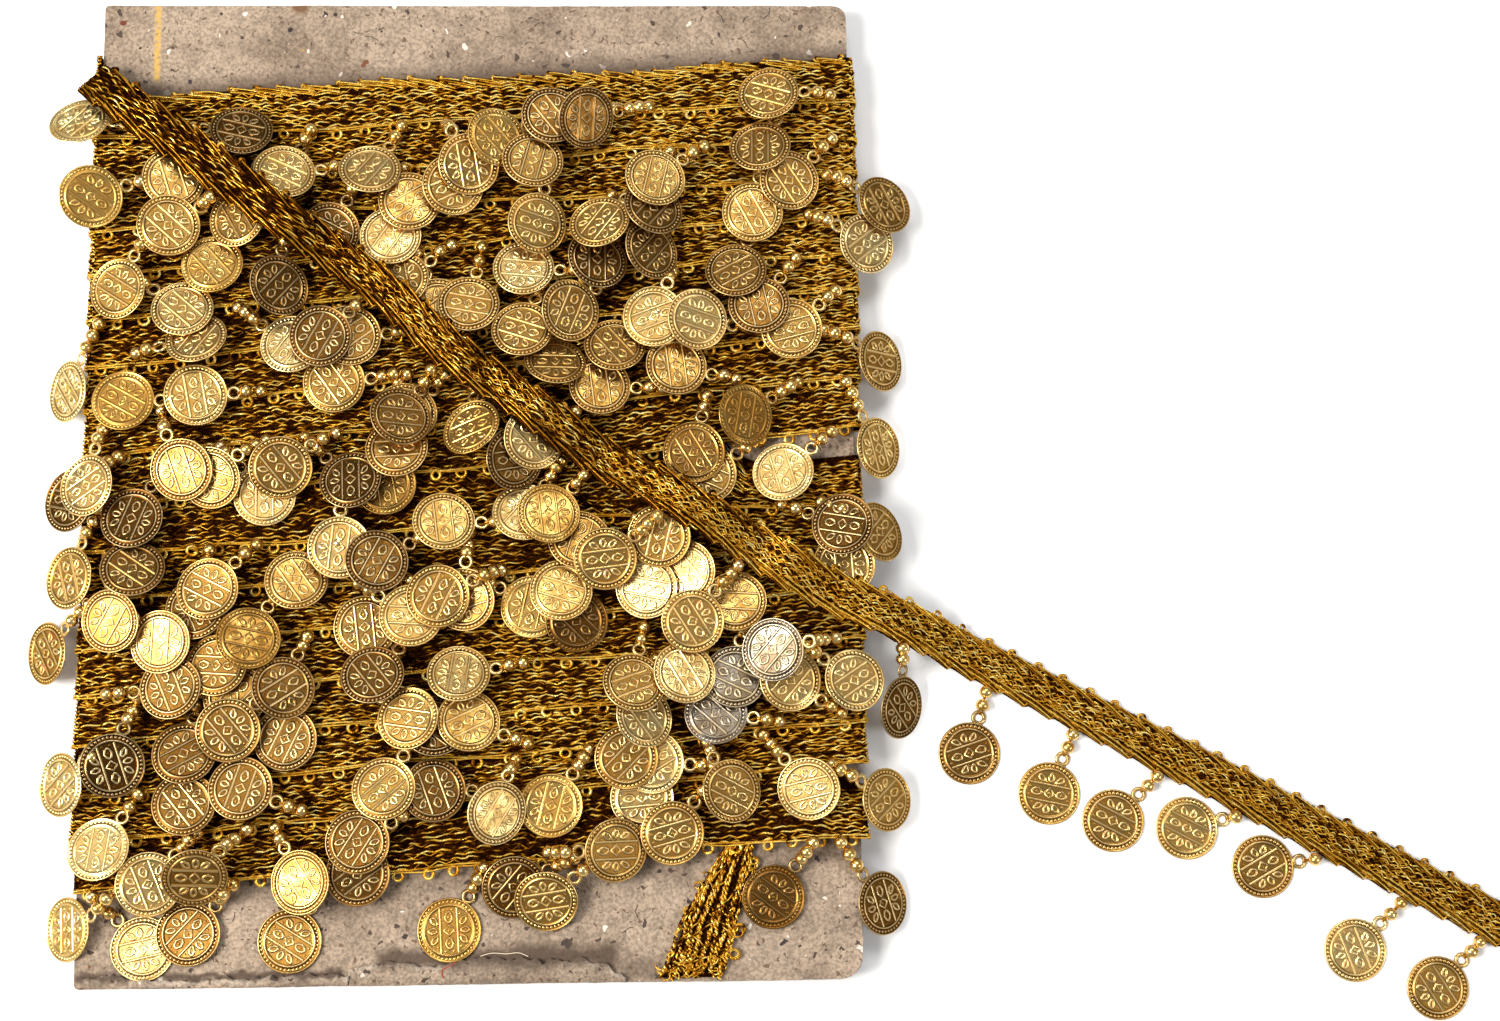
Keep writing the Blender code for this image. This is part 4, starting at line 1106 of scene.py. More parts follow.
# Columns: slip along the slant, tone.
EDGE_STITCHES = ((0.0, 0.8), (0.5, 0.45), (1.0, 0.7))
STITCH_R = 0.18
CORD_HEIGHTS = (-0.1, 0.36)
CORD_TONE = 0.72
RIGHT = np.array((1.0, 0.0, 0.0))


def add_ring(pieces, centre, first, up, radius=PICOT_R, wire=PICOT_WIRE, tone=0.66):
    """One picot: an uneven closed loop of thread."""
    angles = round_angles(PICOT_POINTS)[:, None]
    second = np.cross(up, first)
    stretch = rng.uniform(0.88, 1.15)
    ring = centre + radius * (first * np.cos(angles) * stretch + second * np.sin(angles))
    ring = ring + up * rng.normal(0, 0.06, (PICOT_POINTS, 1))
    points, quads = tube(ring, up, wire, closed=True)
    tone = tone + 0.25 * drift(PICOT_POINTS)
    pieces.add(points, quads=quads, tone=np.repeat(np.clip(tone, 0, 1), 3))


def ring_stations():
    places = np.arange(rng.uniform(1.0, PICOT_STEP), CARD_W - 0.5, PICOT_STEP)
    places = places + rng.normal(0, 0.5, len(places))
    return np.array([(x, CARD_FRONT, 0.0, 1.0, FRONT) for x in places])


def add_rings(pieces, turn):
    """The picots below a turn."""
    stations = ring_stations()
    points, _ = band_at(stations, turn_edges(turn, stations), 0.0, WEB_T + 0.1)
    for point in points:
        tilt = unit(np.array((rng.normal(0, 0.12), rng.normal(0, 0.2), 1.0)))
        first = unit(np.cross((0.0, 1.0, 0.0), tilt))
        add_ring(pieces, point + (0.0, rng.normal(-RING_BELOW, 0.12), 0.0), first, tilt)


def add_upper_stitches(pieces, turn):
    """Slanting stitches along a turn's upper edge, each from a small knot."""
    share = np.linspace(0, 1, EDGE_POINTS)
    for start in ring_stations()[:, 0]:
        x = start + rng.normal(0, 0.8) + EDGE_STITCH * share
        stations = np.array([(at, CARD_FRONT, 0.0, 1.0, FRONT) for at in x])
        low, high = turn_edges(turn, stations)
        for slip, tone in EDGE_STITCHES:
            height = 0.3 - 0.9 * slip - 1.5 * share ** 1.3 + 0.1 * drift(EDGE_POINTS)
            points, ups = band_at(stations, (low, high), 1 + height / (high - low), WEB_T + 0.3)
            keep = points[:, 0] < CARD_W
            if keep.sum() > 2:
                tone = tone + 0.1 * drift(keep.sum())
                add_thread(pieces, points[keep], ups[keep], STITCH_R, tone)
        knot, _ = band_at(stations[:1], (low[:1], high[:1]), 1.0, WEB_T)
        add_ring(pieces, knot[0] + (0.0, 0.2, 0.0), RIGHT, UP, KNOT_R, KNOT_WIRE, 0.5)


cord_path = band_path(int(CARD_W / CORD_STEP), 20)
pieces = Bin()
for turn in range(TURN_COUNT):
    edges = turn_edges(turn, cord_path)
    for height in CORD_HEIGHTS:
        uneven = height + 0.12 * drift(len(cord_path))
        points, ups = band_at(cord_path, edges, uneven / (edges[1] - edges[0]), WEB_T + 0.3)
        add_thread(pieces, points, ups, CORD_R, CORD_TONE + 0.12 * drift(len(cord_path)))
    add_rings(pieces, turn)
add_upper_stitches(pieces, TURN_COUNT - 1)
dress(pieces.make("lace_cords_and_picots", (thread_metal,)), "lace")

# %% [markdown]
# ## The loose end
# The last turn leaves the card's left edge, crosses the heap and runs out over the surface.
# Its route repeats the solids' own route, and its height and lean at each station are read
# from the frame, so it lies on the same coins. Its ground is a sheet of cloth of known flat
# size.

# %% The loose end's line
TAIL_ROUTE = (
    (-1.2, 196.0), (10.0, 187.0), (20.0, 180.0), (40.0, 164.5), (60.0, 150.2),
    (80.0, 132.6), (100.0, 117.6), (120.0, 104.8), (140.0, 93.2), (160.0, 81.5),
    (181.0, 72.8), (201.4, 62.8), (221.8, 52.4), (242.2, 41.9), (262.6, 31.0),
    (282.9, 20.2), (303.3, 9.6), (312.0, 5.0),
)
TAIL_W = 8.6
TAIL_STEP = 4.0
CURVE_STEPS = 20
AT_STATION = 0.05


def smooth_route(points, step):
    """Points at even steps along a curve through the route's own points."""
    points = np.array(points)
    padded = np.vstack([points[:1], points, points[-1:]])
    dense = []
    for a, b, c, d in zip(padded, padded[1:], padded[2:], padded[3:]):
        for t in np.linspace(0, 1, CURVE_STEPS, endpoint=False):
            dense.append(0.5 * (2 * b + (c - a) * t + (2 * a - 5 * b + 4 * c - d) * t ** 2
                                + (3 * b - a - 3 * c + d) * t ** 3))
    dense = np.array(dense + [points[-1]])
    along = np.concatenate(([0], np.cumsum(np.linalg.norm(np.diff(dense, axis=0), axis=1))))
    places = np.linspace(0, along[-1], int(round(along[-1] / step)) + 1)
    return np.column_stack([np.interp(places, along, dense[:, axis]) for axis in (0, 1)])


def tail_edges():
    """Lower corners of the loose end at each station, right and left of its way."""
    route = smooth_route(TAIL_ROUTE, TAIL_STEP)
    ways = unit(np.gradient(route, axis=0))
    points, _ = node_faces("tail", join_flat=False)
    stations = np.arange(len(route))
    sides = []
    for half in (-TAIL_W / 2, TAIL_W / 2):
        places = route + np.column_stack([-ways[:, 1], ways[:, 0]]) * half
        gaps = np.linalg.norm(places[:, None] - points[None, :, :2], axis=2)
        heights = np.where(gaps < AT_STATION, points[None, :, 2], np.inf).min(axis=1)
        found = np.isfinite(heights)
        heights = np.interp(stations, stations[found], heights[found])
        sides.append(np.column_stack([places, heights]))
    return sides


tail_right, tail_left = tail_edges()
tail_middle = (tail_right + tail_left) / 2


# %% Points on the loose end
BUNCH_AT = 88.0
BUNCH_REACH = 48.0
BUNCH = 0.1


def tail_at(places, across, lift):
    """Points at places along the loose end, sideways from its middle, and a lift, in mm."""
    places = np.asarray(places, float)
    index = np.arange(len(tail_middle)) * TAIL_STEP
    right, left = (np.column_stack([np.interp(places, index, edge[:, axis]) for axis in range(3)])
                   for edge in (tail_right, tail_left))
    bunched = 1 - BUNCH * np.exp(-((places - BUNCH_AT) / BUNCH_REACH) ** 2)
    share = 0.5 + np.asarray(across) * bunched / TAIL_W
    ways = np.gradient((left + right) / 2, axis=0)
    ups = unit(np.cross(ways, left - right))
    return right + (left - right) * share[:, None] + ups * np.asarray(lift)[..., None], ups


def tail_share(places, share, lift):
    """The same with a share of the width, for rows of thread."""
    return tail_at(places, (share - 0.5) * TAIL_W, lift)


# %% Ground and rows of the loose end
TAIL_WEB_LOW = 0.02
TAIL_WEB_T = 0.5
TAIL_ROWS = 14
TAIL_STITCHES = (5.2, 3.0)
TAIL_SWAYS = (0.19, 0.32)
TAIL_THREAD_R = 0.18
# Painted shade on the loose end where it crosses the heap.
TAIL_SHADE = 0.3
TAIL_FADE = (60.0, 170.0)
TAIL_ROW_STEP = 0.8
TAIL_LINK_STEP = 0.9
TAIL_LINK_TONE = 0.52
TOOTH_STEP = 6.3
TOOTH = 0.75
CUT_THREADS = 22
CUT_REACH = (1.0, 3.2)
CUT_POINTS = 5
CUT_LOWEST = 0.25


def tail_shade(places):
    """Painted shade on the loose end where it crosses the heap, fading out beyond it."""
    return np.interp(places, TAIL_FADE, (TAIL_SHADE, 0.0))


half = TAIL_W / 2
tail_end = (len(tail_middle) - 1) * TAIL_STEP
places = np.linspace(0, tail_end, int(tail_end))
low = -half - TOOTH * (places / TOOTH_STEP % 1.0) ** 1.5
high = np.full(len(places), half)
section = ((high, TAIL_WEB_LOW), (0 * high, TAIL_WEB_LOW), (low, TAIL_WEB_LOW),
           (low, TAIL_WEB_T), (0 * high, TAIL_WEB_T), (high, TAIL_WEB_T))
points, quads = slab([tail_at(places, across, lift + 0 * high)[0] for across, lift in section])
pieces = Bin()
pieces.add(points, quads=quads)
tail_web = dress(pieces.make("loose_end_ground", (web_cloth,)), "lace", "tail")

pieces = Bin()
places = np.arange(0, tail_end, TAIL_ROW_STEP)
links = np.arange(TAIL_FADE[0], tail_end, TAIL_LINK_STEP)
pace = pace_of(len(places), np.interp(places, TAIL_FADE, TAIL_STITCHES))
sway = np.interp(places, TAIL_FADE, TAIL_SWAYS)
for row in range(TAIL_ROWS):
    across = (row + 0.5) / TAIL_ROWS
    add_row(pieces, partial(tail_share, places), pace, row, across, TAIL_W, TAIL_WEB_T + 0.15,
            tail_shade(places), sway, TAIL_THREAD_R)
    if row % 3:
        add_links(pieces, partial(tail_share, links), len(links), across - 1 / TAIL_ROWS,
                  across, TAIL_WEB_T + 0.2, TAIL_LINK_TONE - tail_shade(links))
# The cut end: short ends of thread stick out of it and sink to the surface.
cut = np.array((tail_end - 1.0, tail_end - 0.5))
ends, _ = tail_at(cut, 0.0, 0.0)
way = unit(ends[1] - ends[0])
aside = np.array((-way[1], way[0], 0.0))
share = np.linspace(0, 1, CUT_POINTS)[:, None]
for across in np.linspace(-half, half, CUT_THREADS):
    start = tail_at(cut, across, TAIL_WEB_T * rng.uniform(0.2, 1.2))[0][1]
    reach = way * rng.uniform(*CUT_REACH) + aside * rng.normal(0, 0.5)
    points = start + reach * share + aside * rng.normal(0, 0.4) * share ** 2
    sunk = points[:, 2] - rng.uniform(0, 0.8) * share[:, 0] ** 2
    points[:, 2] = np.maximum(sunk, CUT_LOWEST)
    add_thread(pieces, points, UP, TAIL_THREAD_R, 0.6 + 0.15 * drift(CUT_POINTS))
tail_threads = dress(pieces.make("loose_end_threads", (thread_metal,)), "lace")

# %% [markdown]
# ## Long stitches along the loose end
# Both edges of the loose end can be seen: a pair of long smooth stitches slants down from
# each picot of the upper edge, and four slant out to each tooth of the lower edge. They
# carry painted shade up to the card's right edge.

# %% Edges of the loose end
LONG_STITCH = 8.5
STITCH_BOW = 0.25
STITCH_ARCH = 0.12
UPPER_PICOT_STEP = 6.2
SMALL_PICOT = 0.75
SMALL_WIRE = 0.36
PICOT_TONE = 0.55
FREE_FROM = 176.0
# Columns: slip across the lace in mm, tone.
UPPER_STITCHES = ((0.0, 0.7), (0.5, 0.4))
TOOTH_STITCHES = ((0.0, 0.42), (0.47, 0.8), (0.94, 0.25), (1.4, 0.68))
BACK_STITCH_TONE = 0.5


# Painted shade on the loose end's edges up to the card's right edge.
def edge_shade(place):
    return 0.0 if place > FREE_FROM else TAIL_SHADE


def add_long_stitch(pieces, start, stop, lift, tone):
    """A smooth thread between two places given as distance along and across."""
    share = np.linspace(0, 1, EDGE_POINTS)
    along = start[0] + (stop[0] - start[0]) * share
    across = start[1] + (stop[1] - start[1]) * share + STITCH_BOW * np.sin(math.pi * share)
    points, ups = tail_at(along, across, lift + STITCH_ARCH * np.sin(math.pi * share))
    add_thread(pieces, points, ups, STITCH_R, tone + 0.1 * drift(len(share)))


pieces = Bin()
for place in np.arange(3.0, tail_end - 2, UPPER_PICOT_STEP):
    shade = edge_shade(place)
    place = place + rng.normal(0, 0.3)
    around = np.array((place - 0.5, place, place + 0.5))
    points, ups = tail_at(around, (half + 0.1) * np.ones(3), TAIL_WEB_T * np.ones(3))
    add_ring(pieces, points[1], unit(points[2] - points[0]), ups[1], SMALL_PICOT, SMALL_WIRE,
             PICOT_TONE - shade)
    stop = min(place + LONG_STITCH, tail_end - 0.3)
    for slip, tone in UPPER_STITCHES:
        start, end = (place, half + 0.3 - slip), (stop, half - 1.7 - slip)
        add_long_stitch(pieces, start, end, TAIL_WEB_T + 0.42, tone - shade)
for place in np.arange(TOOTH_STEP, tail_end - 1, TOOTH_STEP):
    for slip, tone in TOOTH_STITCHES:
        start = (max(place - LONG_STITCH, 0.0), -half + 0.7 + slip)
        add_long_stitch(pieces, start, (place - 0.15, -half - TOOTH + slip),
                        TAIL_WEB_T + 0.3, tone - edge_shade(place))
    add_long_stitch(pieces, (place - 0.15, -half - TOOTH), (place + 0.7, -half + 0.5),
                    TAIL_WEB_T + 0.25, BACK_STITCH_TONE)
tail_edging = dress(pieces.make("loose_end_edging", (thread_metal,)), "lace")

# %% [markdown]
# ## The cut start
# Under the lowest turn the lace's cut start lies on the board. Its stitches have come undone,
# so it fans out in twisted pairs of thread that end at different lengths. Single threads wind
# between them, short curls stick out at the end and both sides, and a few picots still hold
# on the right.

# %% The cut start
# Columns: left x, right x, y.
START_END = (
    (136.5, 142.2, 29.5), (130.6, 140.6, 20.5), (126.6, 138.6, 12.5), (124.2, 137.0, 6.0),
    (121.2, 135.6, 0.4),
)
START_BRAIDS = 15
START_LINKS = 9
BRAID_WANDER = 0.015
BRAID_TONE = 0.38
START_LINK_TONE = 0.4
START_POINTS = 60
START_WEB = ((0.93, 0.32), (0.06, 0.32), (0.06, 0.6), (0.93, 0.6))
START_WEB_END = 0.97
START_PICOTS = (0.14, 0.34, 0.56, 0.76)
START_CURLS = 40
CURL_POINTS = 9


def start_at(share, across, lift):
    """Points on the cut start, from the lowest turn down to its end."""
    rows = np.array(START_END)
    index = np.linspace(0, 1, len(rows))
    left, right, y = (np.interp(share, index, rows[:, axis]) for axis in range(3))
    return np.column_stack([left + (right - left) * across, y, CARD_FRONT + lift + 0 * y])


share = np.linspace(0, START_WEB_END, 9)
points, quads = slab([start_at(share, across, lift) for across, lift in START_WEB])
pieces = Bin()
pieces.add(points, quads=quads)
start_web = dress(pieces.make("cut_start_ground", (web_cloth,)), "lace", "start_end")

pieces = Bin()
for braid in range(START_BRAIDS):
    share = np.linspace(0, rng.uniform(0.9, 1.0), START_POINTS)
    angles = 2 * np.pi * pace_of(START_POINTS)
    wander = np.cumsum(rng.normal(0, BRAID_WANDER, START_POINTS))
    wander = wander * np.linspace(1, 0.6, START_POINTS)
    lift = rng.uniform(0.75, 1.15)
    for side in (-1, 1):
        across = (braid + 0.5) / START_BRAIDS + wander + side * 0.026 * np.sin(angles)
        points = start_at(share, across, lift + side * 0.2 * np.cos(angles))
        # Painted light and shade: each thread of a pair is lighter where it lies on top of the
        # twist.
        tone = BRAID_TONE + side * 0.34 * np.cos(angles) + 0.24 * drift(START_POINTS)
        add_thread(pieces, points, UP, 0.25, tone)
for link in range(START_LINKS):
    share = np.linspace(0.02, 0.97, START_POINTS)
    across = 0.5 + 0.46 * np.sin(2 * np.pi * (link / START_LINKS + share * rng.uniform(0.7, 1.5)))
    across = across + 0.02 * drift(START_POINTS)
    points = start_at(share, across, 1.15 + 0.1 * drift(START_POINTS))
    add_thread(pieces, points, UP, 0.17, START_LINK_TONE + 0.34 * drift(START_POINTS))
for place in START_PICOTS:
    centre = start_at(np.array((place,)), 1.05, 0.8)[0]
    add_ring(pieces, centre, np.array((0.3, 0.95, 0.0)), UP, PICOT_R * 1.1)
for curl in range(START_CURLS):
    share, across = rng.uniform(0.8, 0.96), rng.uniform(0.05, 0.95)
    if curl % 2:
        share, across = rng.uniform(0.12, 0.95), rng.normal(curl // 2 % 2, 0.05)
    centre = start_at(np.array((share,)), across, 1.0)[0]
    angles = rng.uniform(0, 6) + np.linspace(0, rng.uniform(2.5, 5), CURL_POINTS)
    size = rng.uniform(0.6, 1.3)
    curve = [size * np.cos(angles), size * 0.8 * np.sin(angles), 0.1 * angles / 5]
    points = centre + np.column_stack(curve)
    add_thread(pieces, points, UP, STITCH_R, 0.6 + 0.15 * drift(CURL_POINTS))
start_threads = dress(pieces.make("cut_start_threads", (thread_metal,)), "lace")

# %% [markdown]
# ## The board
# The card is grey-brown recycled board, about 3 mm thick: pressed waste paper with dark,
# white and rusty flecks and short hairs. Its corners are rounded by wear and its edges are
# rough where it was cut. The outline is a ring of points with a little noise, stacked in
# five layers.

# %% Board material
BOARD_COLOUR = (0.40, 0.30, 0.215)
BOARD_DARK = (0.255, 0.182, 0.125)
YELLOW_INK = (0.52, 0.31, 0.05)
TORN_FIBRES = (0.56, 0.47, 0.38)
SHADE = (0.06, 0.036, 0.022)
FLECK_STIR = (0.003, 0.003, 0.0)
# Columns: scale of the cells, share of bare cells, largest reach, seed, colour.
FLECKS = (
    (640.0, 0.55, 0.26, 3.0, (0.13, 0.08, 0.05)),
    (330.0, 0.72, 0.2, 5.0, (0.06, 0.038, 0.026)),
    (150.0, 0.8, 0.13, 7.0, (0.035, 0.025, 0.022)),
    (260.0, 0.82, 0.17, 11.0, (0.60, 0.53, 0.45)),
    (110.0, 0.88, 0.08, 23.0, (0.14, 0.05, 0.02)),
)
# Columns: x, y, radius, softness, colour.
MARKS = (
    (19.3, 196.8, 0.85, 0.3, (0.006, 0.006, 0.025)),
    (41.0, 208.6, 0.7, 0.25, (0.02, 0.015, 0.012)),
    (36.4, 206.2, 0.6, 0.25, (0.03, 0.02, 0.014)),
    (25.8, 212.4, 0.55, 0.25, (0.03, 0.02, 0.014)),
    (51.0, 212.3, 0.7, 0.3, (0.02, 0.015, 0.012)),
    (67.5, 205.8, 0.5, 0.25, (0.02, 0.015, 0.012)),
    (72.5, 204.6, 0.5, 0.25, (0.006, 0.006, 0.025)),
    (4.2, 210.2, 0.75, 0.3, (0.12, 0.025, 0.012)),
    (31.0, 212.2, 0.75, 0.4, (0.75, 0.70, 0.64)),
    (44.0, 204.0, 0.6, 0.5, (0.45, 0.25, 0.05)),
    (43.0, 214.3, 1.8, 1.2, (0.14, 0.07, 0.03)),
    (74.0, 14.5, 0.7, 0.4, (0.02, 0.015, 0.012)),
    (79.0, 12.0, 0.5, 0.4, (0.02, 0.015, 0.012)),
)

board_paper, tree, inputs = start_material("grey_board", 0.0, 0.9)
paper = mix(tree, patches(tree, 70.0, 0.3, 0.6), BOARD_DARK, BOARD_COLOUR)
torn = map_range(tree, read_number(tree, "tone"), 0.5, 1.0, 0.0, 0.6)
paper = mix(tree, torn, paper, TORN_FIBRES)
fibre = patches(tree, 1100.0, 0.35, 0.65)
for size, least in ((1500.0, 0.6), (330.0, 0.82)):
    cloud = mix(tree, patches(tree, size, 0.38, 0.6), (least, least, least), (1.0, 1.0, 1.0))
    paper = darken(tree, paper, cloud)
spot = add_node(tree, "ShaderNodeTexCoord").outputs["Object"]
stir = vector_math(tree, "MULTIPLY", noise(tree, 500.0, 2.0)["Color"], FLECK_STIR)["Vector"]
stirred = vector_math(tree, "ADD", spot, stir)["Vector"]
for scale, bare, reach, seed, colour in FLECKS:
    shift = {"Vector": stirred, "Location": (seed, seed * 0.7, 0.0)}
    moved = add_node(tree, "ShaderNodeMapping", shift).outputs["Vector"]
    cells = add_node(tree, "ShaderNodeTexVoronoi", {"Vector": moved, "Scale": scale},
                     voronoi_dimensions="2D")
    picked = add_node(tree, "ShaderNodeSeparateColor", {"Color": cells.outputs["Color"]})
    size = map_range(tree, picked.outputs["Red"], bare, 1.0, 0.0, reach)
    paper = mix(tree, math_node(tree, "LESS_THAN", cells.outputs["Distance"], size), paper, colour)
print("board colours mixed from", len(FLECKS), "kinds of fleck")

# %% Single marks on the board
place = add_node(tree, "ShaderNodeSeparateXYZ", {"Vector": spot})
ragged = math_node(tree, "MULTIPLY", patches(tree, 260.0, 0.3, 0.7), 1.6 * MM)


def near_line(axis, middle, half, soft, shift=0.0):
    """1 within a band about a coordinate in card millimetres, with soft sides."""
    off = math_node(tree, "SUBTRACT", place.outputs[axis], CORNER["XY".index(axis)] + middle * MM)
    off = math_node(tree, "ABSOLUTE", math_node(tree, "ADD", off, shift))
    return map_range(tree, off, half * MM, (half + soft) * MM, 1.0, 0.0)


def patch_mark(x, y, half_x, half_y, soft, shift=0.0):
    first = near_line("X", x, half_x, soft)
    return math_node(tree, "MULTIPLY", first, near_line("Y", y, half_y, soft, shift))


def round_mark(x, y, size, soft):
    """1 within an uneven spot on the board's face."""
    middle = tuple(CORNER + np.array((x, y, CARD_FRONT)) * MM)
    gap = vector_math(tree, "DISTANCE", spot, middle)["Value"]
    gap = math_node(tree, "ADD", gap, math_node(tree, "MULTIPLY", ragged, 0.5))
    return map_range(tree, gap, size * MM, (size + soft) * MM, 1.0, 0.0)


def line_shade(left, right, reach):
    """1 along a slanting line across the card, fading out at a reach to both sides."""
    slope = (right - left) / CARD_W
    rise = math_node(tree, "MULTIPLY", place.outputs["X"], slope)
    off = math_node(tree, "SUBTRACT", place.outputs["Y"], rise)
    off = math_node(tree, "SUBTRACT", off, CORNER[1] + left * MM - slope * CORNER[0])
    return map_range(tree, math_node(tree, "ABSOLUTE", off), 0.0, reach * MM, 1.0, 0.0)


stroke = patch_mark(11.9, 205.5, 0.35, 8.5, 0.6)
stroke = math_node(tree, "MULTIPLY", stroke, map_range(tree, fibre, 0.1, 0.6, 0.35, 0.85))
paper = mix(tree, stroke, paper, YELLOW_INK)
for x, y, size, soft, colour in MARKS:
    paper = mix(tree, round_mark(x, y, size, soft), paper, colour)
# Shade along the lace's two outer edges, then below the loose strips of facing.
for mask, share in ((line_shade(193.4, 202.2, 4.0), 0.85), (line_shade(20.0, 30.0, 7.0), 0.6),
                    (patch_mark(88.0, 6.5, 24.0, 0.9, 2.4, ragged), 0.9),
                    (patch_mark(28.0, 3.4, 27.0, 0.3, 1.0, ragged), 0.9),
                    (patch_mark(118.0, 3.6, 3.0, 1.5, 3.0, ragged), 0.5)):
    paper = mix(tree, math_node(tree, "MULTIPLY", mask, share), paper, SHADE)
tree.links.new(paper, inputs["Base Color"])
grain(tree, inputs, 900.0, 0.0003, 0.8)

# %% The board itself
CORNER_RADII = (1.0, 5.0, 3.0, 1.0)
LAYERS = (0.0, 0.12, 0.45, 0.75, 1.0)
LAYER_INSET = (0.24, 0.12, 0.12, 0.12, 0.26)
EDGE_STEP = 1.0
WORN_REACH = 14.0


def board_outline():
    """Points round the card, counter-clockwise, about a millimetre apart."""
    corners = ((0, 0, 180), (CARD_W, 0, 270), (CARD_W, CARD_H, 0), (0, CARD_H, 90))
    arcs = []
    for (x, y, start), radius in zip(corners, CORNER_RADII):
        middle = (x + (radius if x == 0 else -radius), y + (radius if y == 0 else -radius))
        angles = np.radians(np.linspace(start, start + 90, 7))
        arcs.append(middle + radius * np.column_stack([np.cos(angles), np.sin(angles)]))
    points = []
    for here, there in zip(arcs, arcs[1:] + arcs[:1]):
        gap = there[0] - here[-1]
        steps = max(int(np.linalg.norm(gap) / EDGE_STEP), 2)
        points += [here, here[-1] + gap * (np.arange(1, steps) / steps)[:, None]]
    return np.concatenate(points)


outline = board_outline()
count = len(outline)
middle = np.array((CARD_W / 2, CARD_H / 2))
inward = unit(middle - outline)
uneven = np.convolve(np.tile(rng.normal(0, 1, count), 3), np.ones(9) / 9, "same")[count:2 * count]
worn = np.linalg.norm(outline - (CARD_W, 0.0), axis=1) < WORN_REACH
layers = []
for height, inset in zip(LAYERS, LAYER_INSET):
    back_by = inset + 0.12 * uneven + rng.random(count) * np.where(worn, 0.3, 0.08)
    level = np.full(count, CARD_BACK + (CARD_FRONT - CARD_BACK) * height)
    layers.append(np.column_stack([outline + inward * np.maximum(back_by, 0.02)[:, None], level]))
step = np.arange(count)
after = (step + 1) % count
last = (len(LAYERS) - 1) * count
fans = [np.column_stack([after, step, np.full(count, len(LAYERS) * count)]),
        np.column_stack([last + step, last + after, np.full(count, len(LAYERS) * count + 1)])]
pieces = Bin()
pieces.add(np.vstack([*layers, (*middle, CARD_BACK), (*middle, CARD_FRONT)]),
           quads=skin(len(LAYERS), count)[:, ::-1], tris=np.vstack(fans))
dress(pieces.make("board", (board_paper,), smooth=False), "board", "card")

# %% [markdown]
# ## Loose facing, hairs and fluff
# Two torn strips of facing paper stand up a little at the bottom edge. Short dark hairs lie
# pressed in the board, one hair is red, and two pale threads lie about: one hangs out of the
# lace and one is curled up by the loose facing.

# %% Loose facing
# Columns: x, y of the torn edge.
TORN_EDGES = (
    ((57.0, 3.2), (60.0, 4.3), (67.0, 4.9), (75.0, 4.4), (82.0, 5.4), (90.0, 5.6), (98.0, 4.8),
     (106.0, 5.2), (111.0, 3.6), (115.5, 1.2)),
    ((1.2, 2.4), (6.0, 3.0), (13.0, 2.4), (22.0, 1.7), (31.0, 1.9), (41.0, 2.3), (49.0, 2.9),
     (57.5, 2.6)),
)
FACING_T = 0.3
FACING_RISE = 0.85
FACING_CURL = 1.3
FACING_LOW = 0.35
FACING_OFF = 0.03
TORN_TONES = (1.0, 0.5, 0.5, 0.5, 0.55, 1.0)

pieces = Bin()
for edge in TORN_EDGES:
    torn = np.array(edge)
    x = np.arange(torn[0, 0], torn[-1, 0], 0.5)
    high = np.interp(x, torn[:, 0], torn[:, 1]) + 0.28 * drift(len(x))
    low = np.full(len(x), FACING_LOW)
    middle = np.maximum(high - FACING_CURL, low + 0.1)
    rise = FACING_RISE * (1 + 0.3 * drift(len(x)))
    section = ((high, rise - FACING_T), (middle, FACING_OFF + 0 * x), (low, FACING_OFF + 0 * x),
               (low, FACING_T + 0 * x), (middle, FACING_T + 0 * x), (high, rise))
    rows = [np.column_stack([x, y, CARD_FRONT + height]) for y, height in section]
    points, quads = slab(rows)
    pieces.add(points, quads=quads, tone=np.tile(TORN_TONES, len(x)))
dress(pieces.make("loose_facing", (board_paper,)), "board")

# %% Hairs and fluff
HAIRS = 34
HAIR_BANDS = ((203.0, 213.0), (4.0, 20.0))
PALE_THREAD = ((131.9, 49.5), (133.0, 46.8), (135.4, 45.2), (138.0, 43.0), (140.8, 41.8))
RED_HAIR = ((80.0, 5.4), (78.5, 4.2), (76.5, 3.2), (76.8, 1.6))
PALE_CURL = ((84.5, 6.0), (87.0, 6.6), (90.0, 6.4), (92.5, 6.6), (94.5, 5.8))
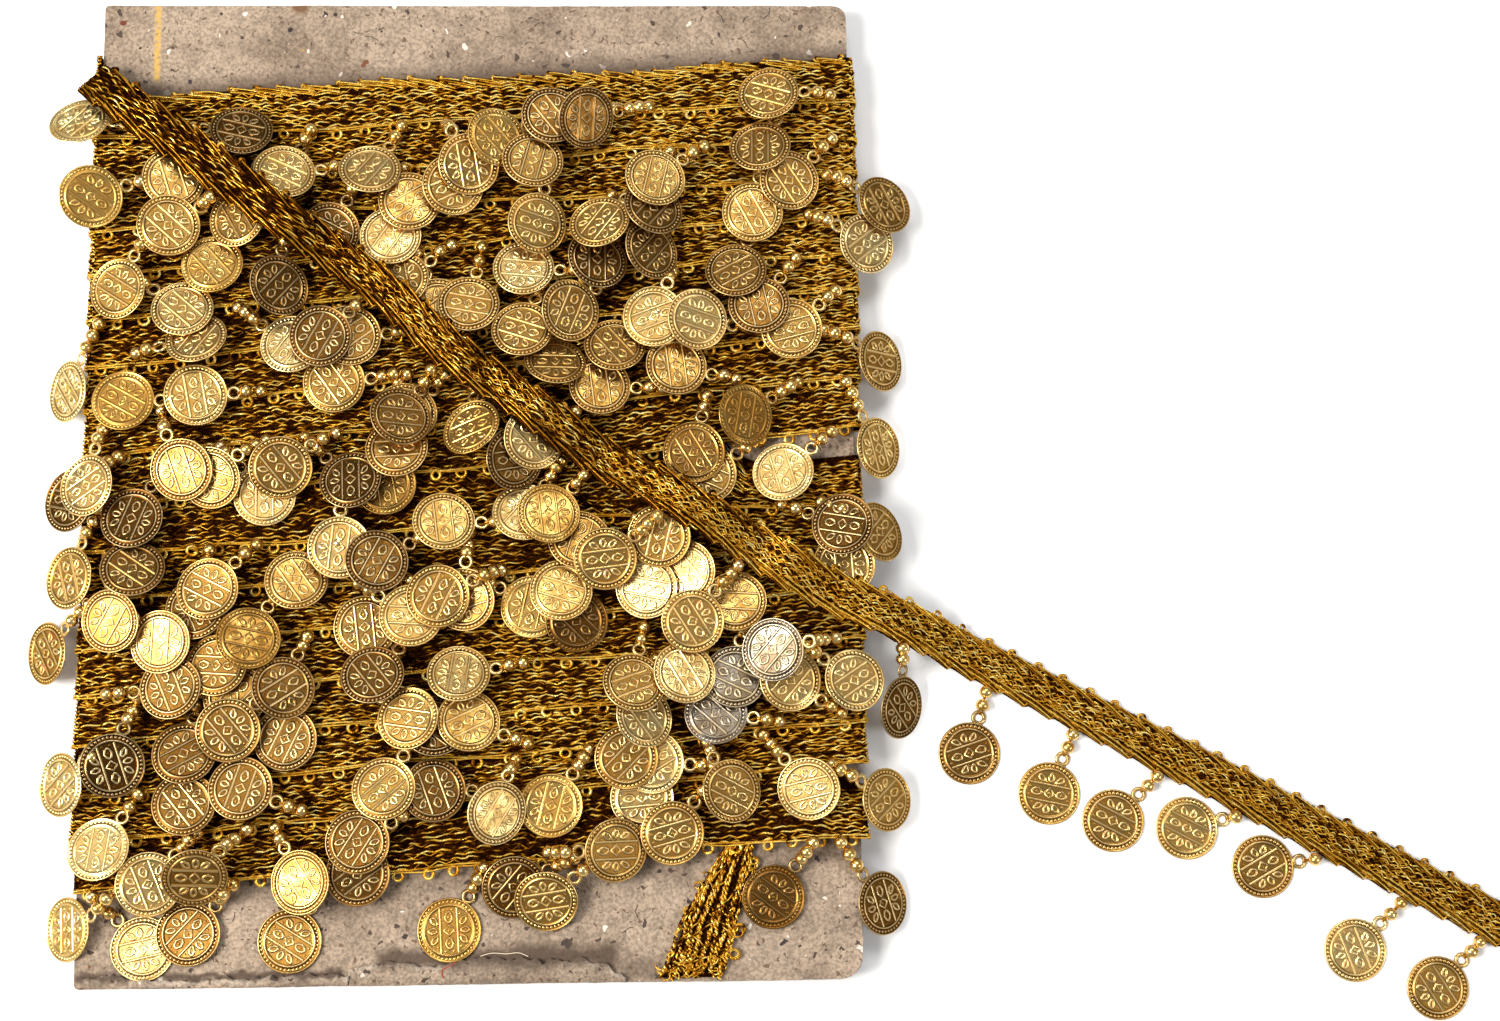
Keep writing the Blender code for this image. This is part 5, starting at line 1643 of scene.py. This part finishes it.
# Columns: material, line, height over the board, radius.
STRAYS = ((1, PALE_THREAD, 2.2, 0.16), (2, RED_HAIR, 0.5, 0.13), (1, PALE_CURL, 0.4, 0.1))
HAIR_POINTS = 5
HAIR_HEIGHT = 0.05
HAIR_R = 0.07

hair_paints = (plain_paint("dark_hair", (0.035, 0.02, 0.012), 0.8),
               plain_paint("pale_thread", (0.72, 0.58, 0.42), 0.7),
               plain_paint("red_hair", (0.35, 0.035, 0.02), 0.7))


def add_hair(pieces, line, height, radius, sides, slot=0):
    """A hair that lies on the board along a line."""
    heights = np.full(len(line), CARD_FRONT + height)
    points, quads = tube(np.column_stack([line, heights]), UP, radius, sides)
    pieces.add(points, quads=quads, slot=slot)


pieces = Bin()
for hair in range(HAIRS):
    low, high = HAIR_BANDS[hair % 2]
    angles = rng.uniform(0, 6.3) + np.cumsum(rng.normal(0, 0.5, HAIR_POINTS))
    steps = np.column_stack([np.cos(angles), np.sin(angles)]) * rng.uniform(0.25, 0.8)
    start = np.array((rng.uniform(6, CARD_W - 8), rng.uniform(low, high)))
    add_hair(pieces, start + np.cumsum(steps, axis=0), HAIR_HEIGHT, HAIR_R, 3)
for slot, line, height, radius in STRAYS:
    add_hair(pieces, smooth_route(line, 0.8), height, radius, 4, slot)
dress(pieces.make("hairs_and_fluff", hair_paints), "board")

# %% [markdown]
# ## Finish
# The floor is marked as stage. The box of the dressed part is printed beside the box of
# the solids.

floor_mesh = bpy.data.meshes.new("floor")
corners = [(x * FLOOR_HALF, y * FLOOR_HALF, 0.0)
           for x, y in ((-1, -1), (1, -1), (1, 1), (-1, 1))]
floor_mesh.from_pydata(corners, [], [(0, 1, 2, 3)])
floor = add_object("floor", floor_mesh)
floor.location.z = -FLOOR_DROP
floor_mesh.materials.append(plain_paint("floor_paint", (0.86, 0.86, 0.86), 0.6))
floor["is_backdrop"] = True

new_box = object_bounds()
for label, box in (("solids", cad_box), ("dressed", new_box)):
    print(label, [round(value / MM, 1) for corner in box for value in corner])
print("triangles in all", sum(triangles), "largest piece", max(triangles))
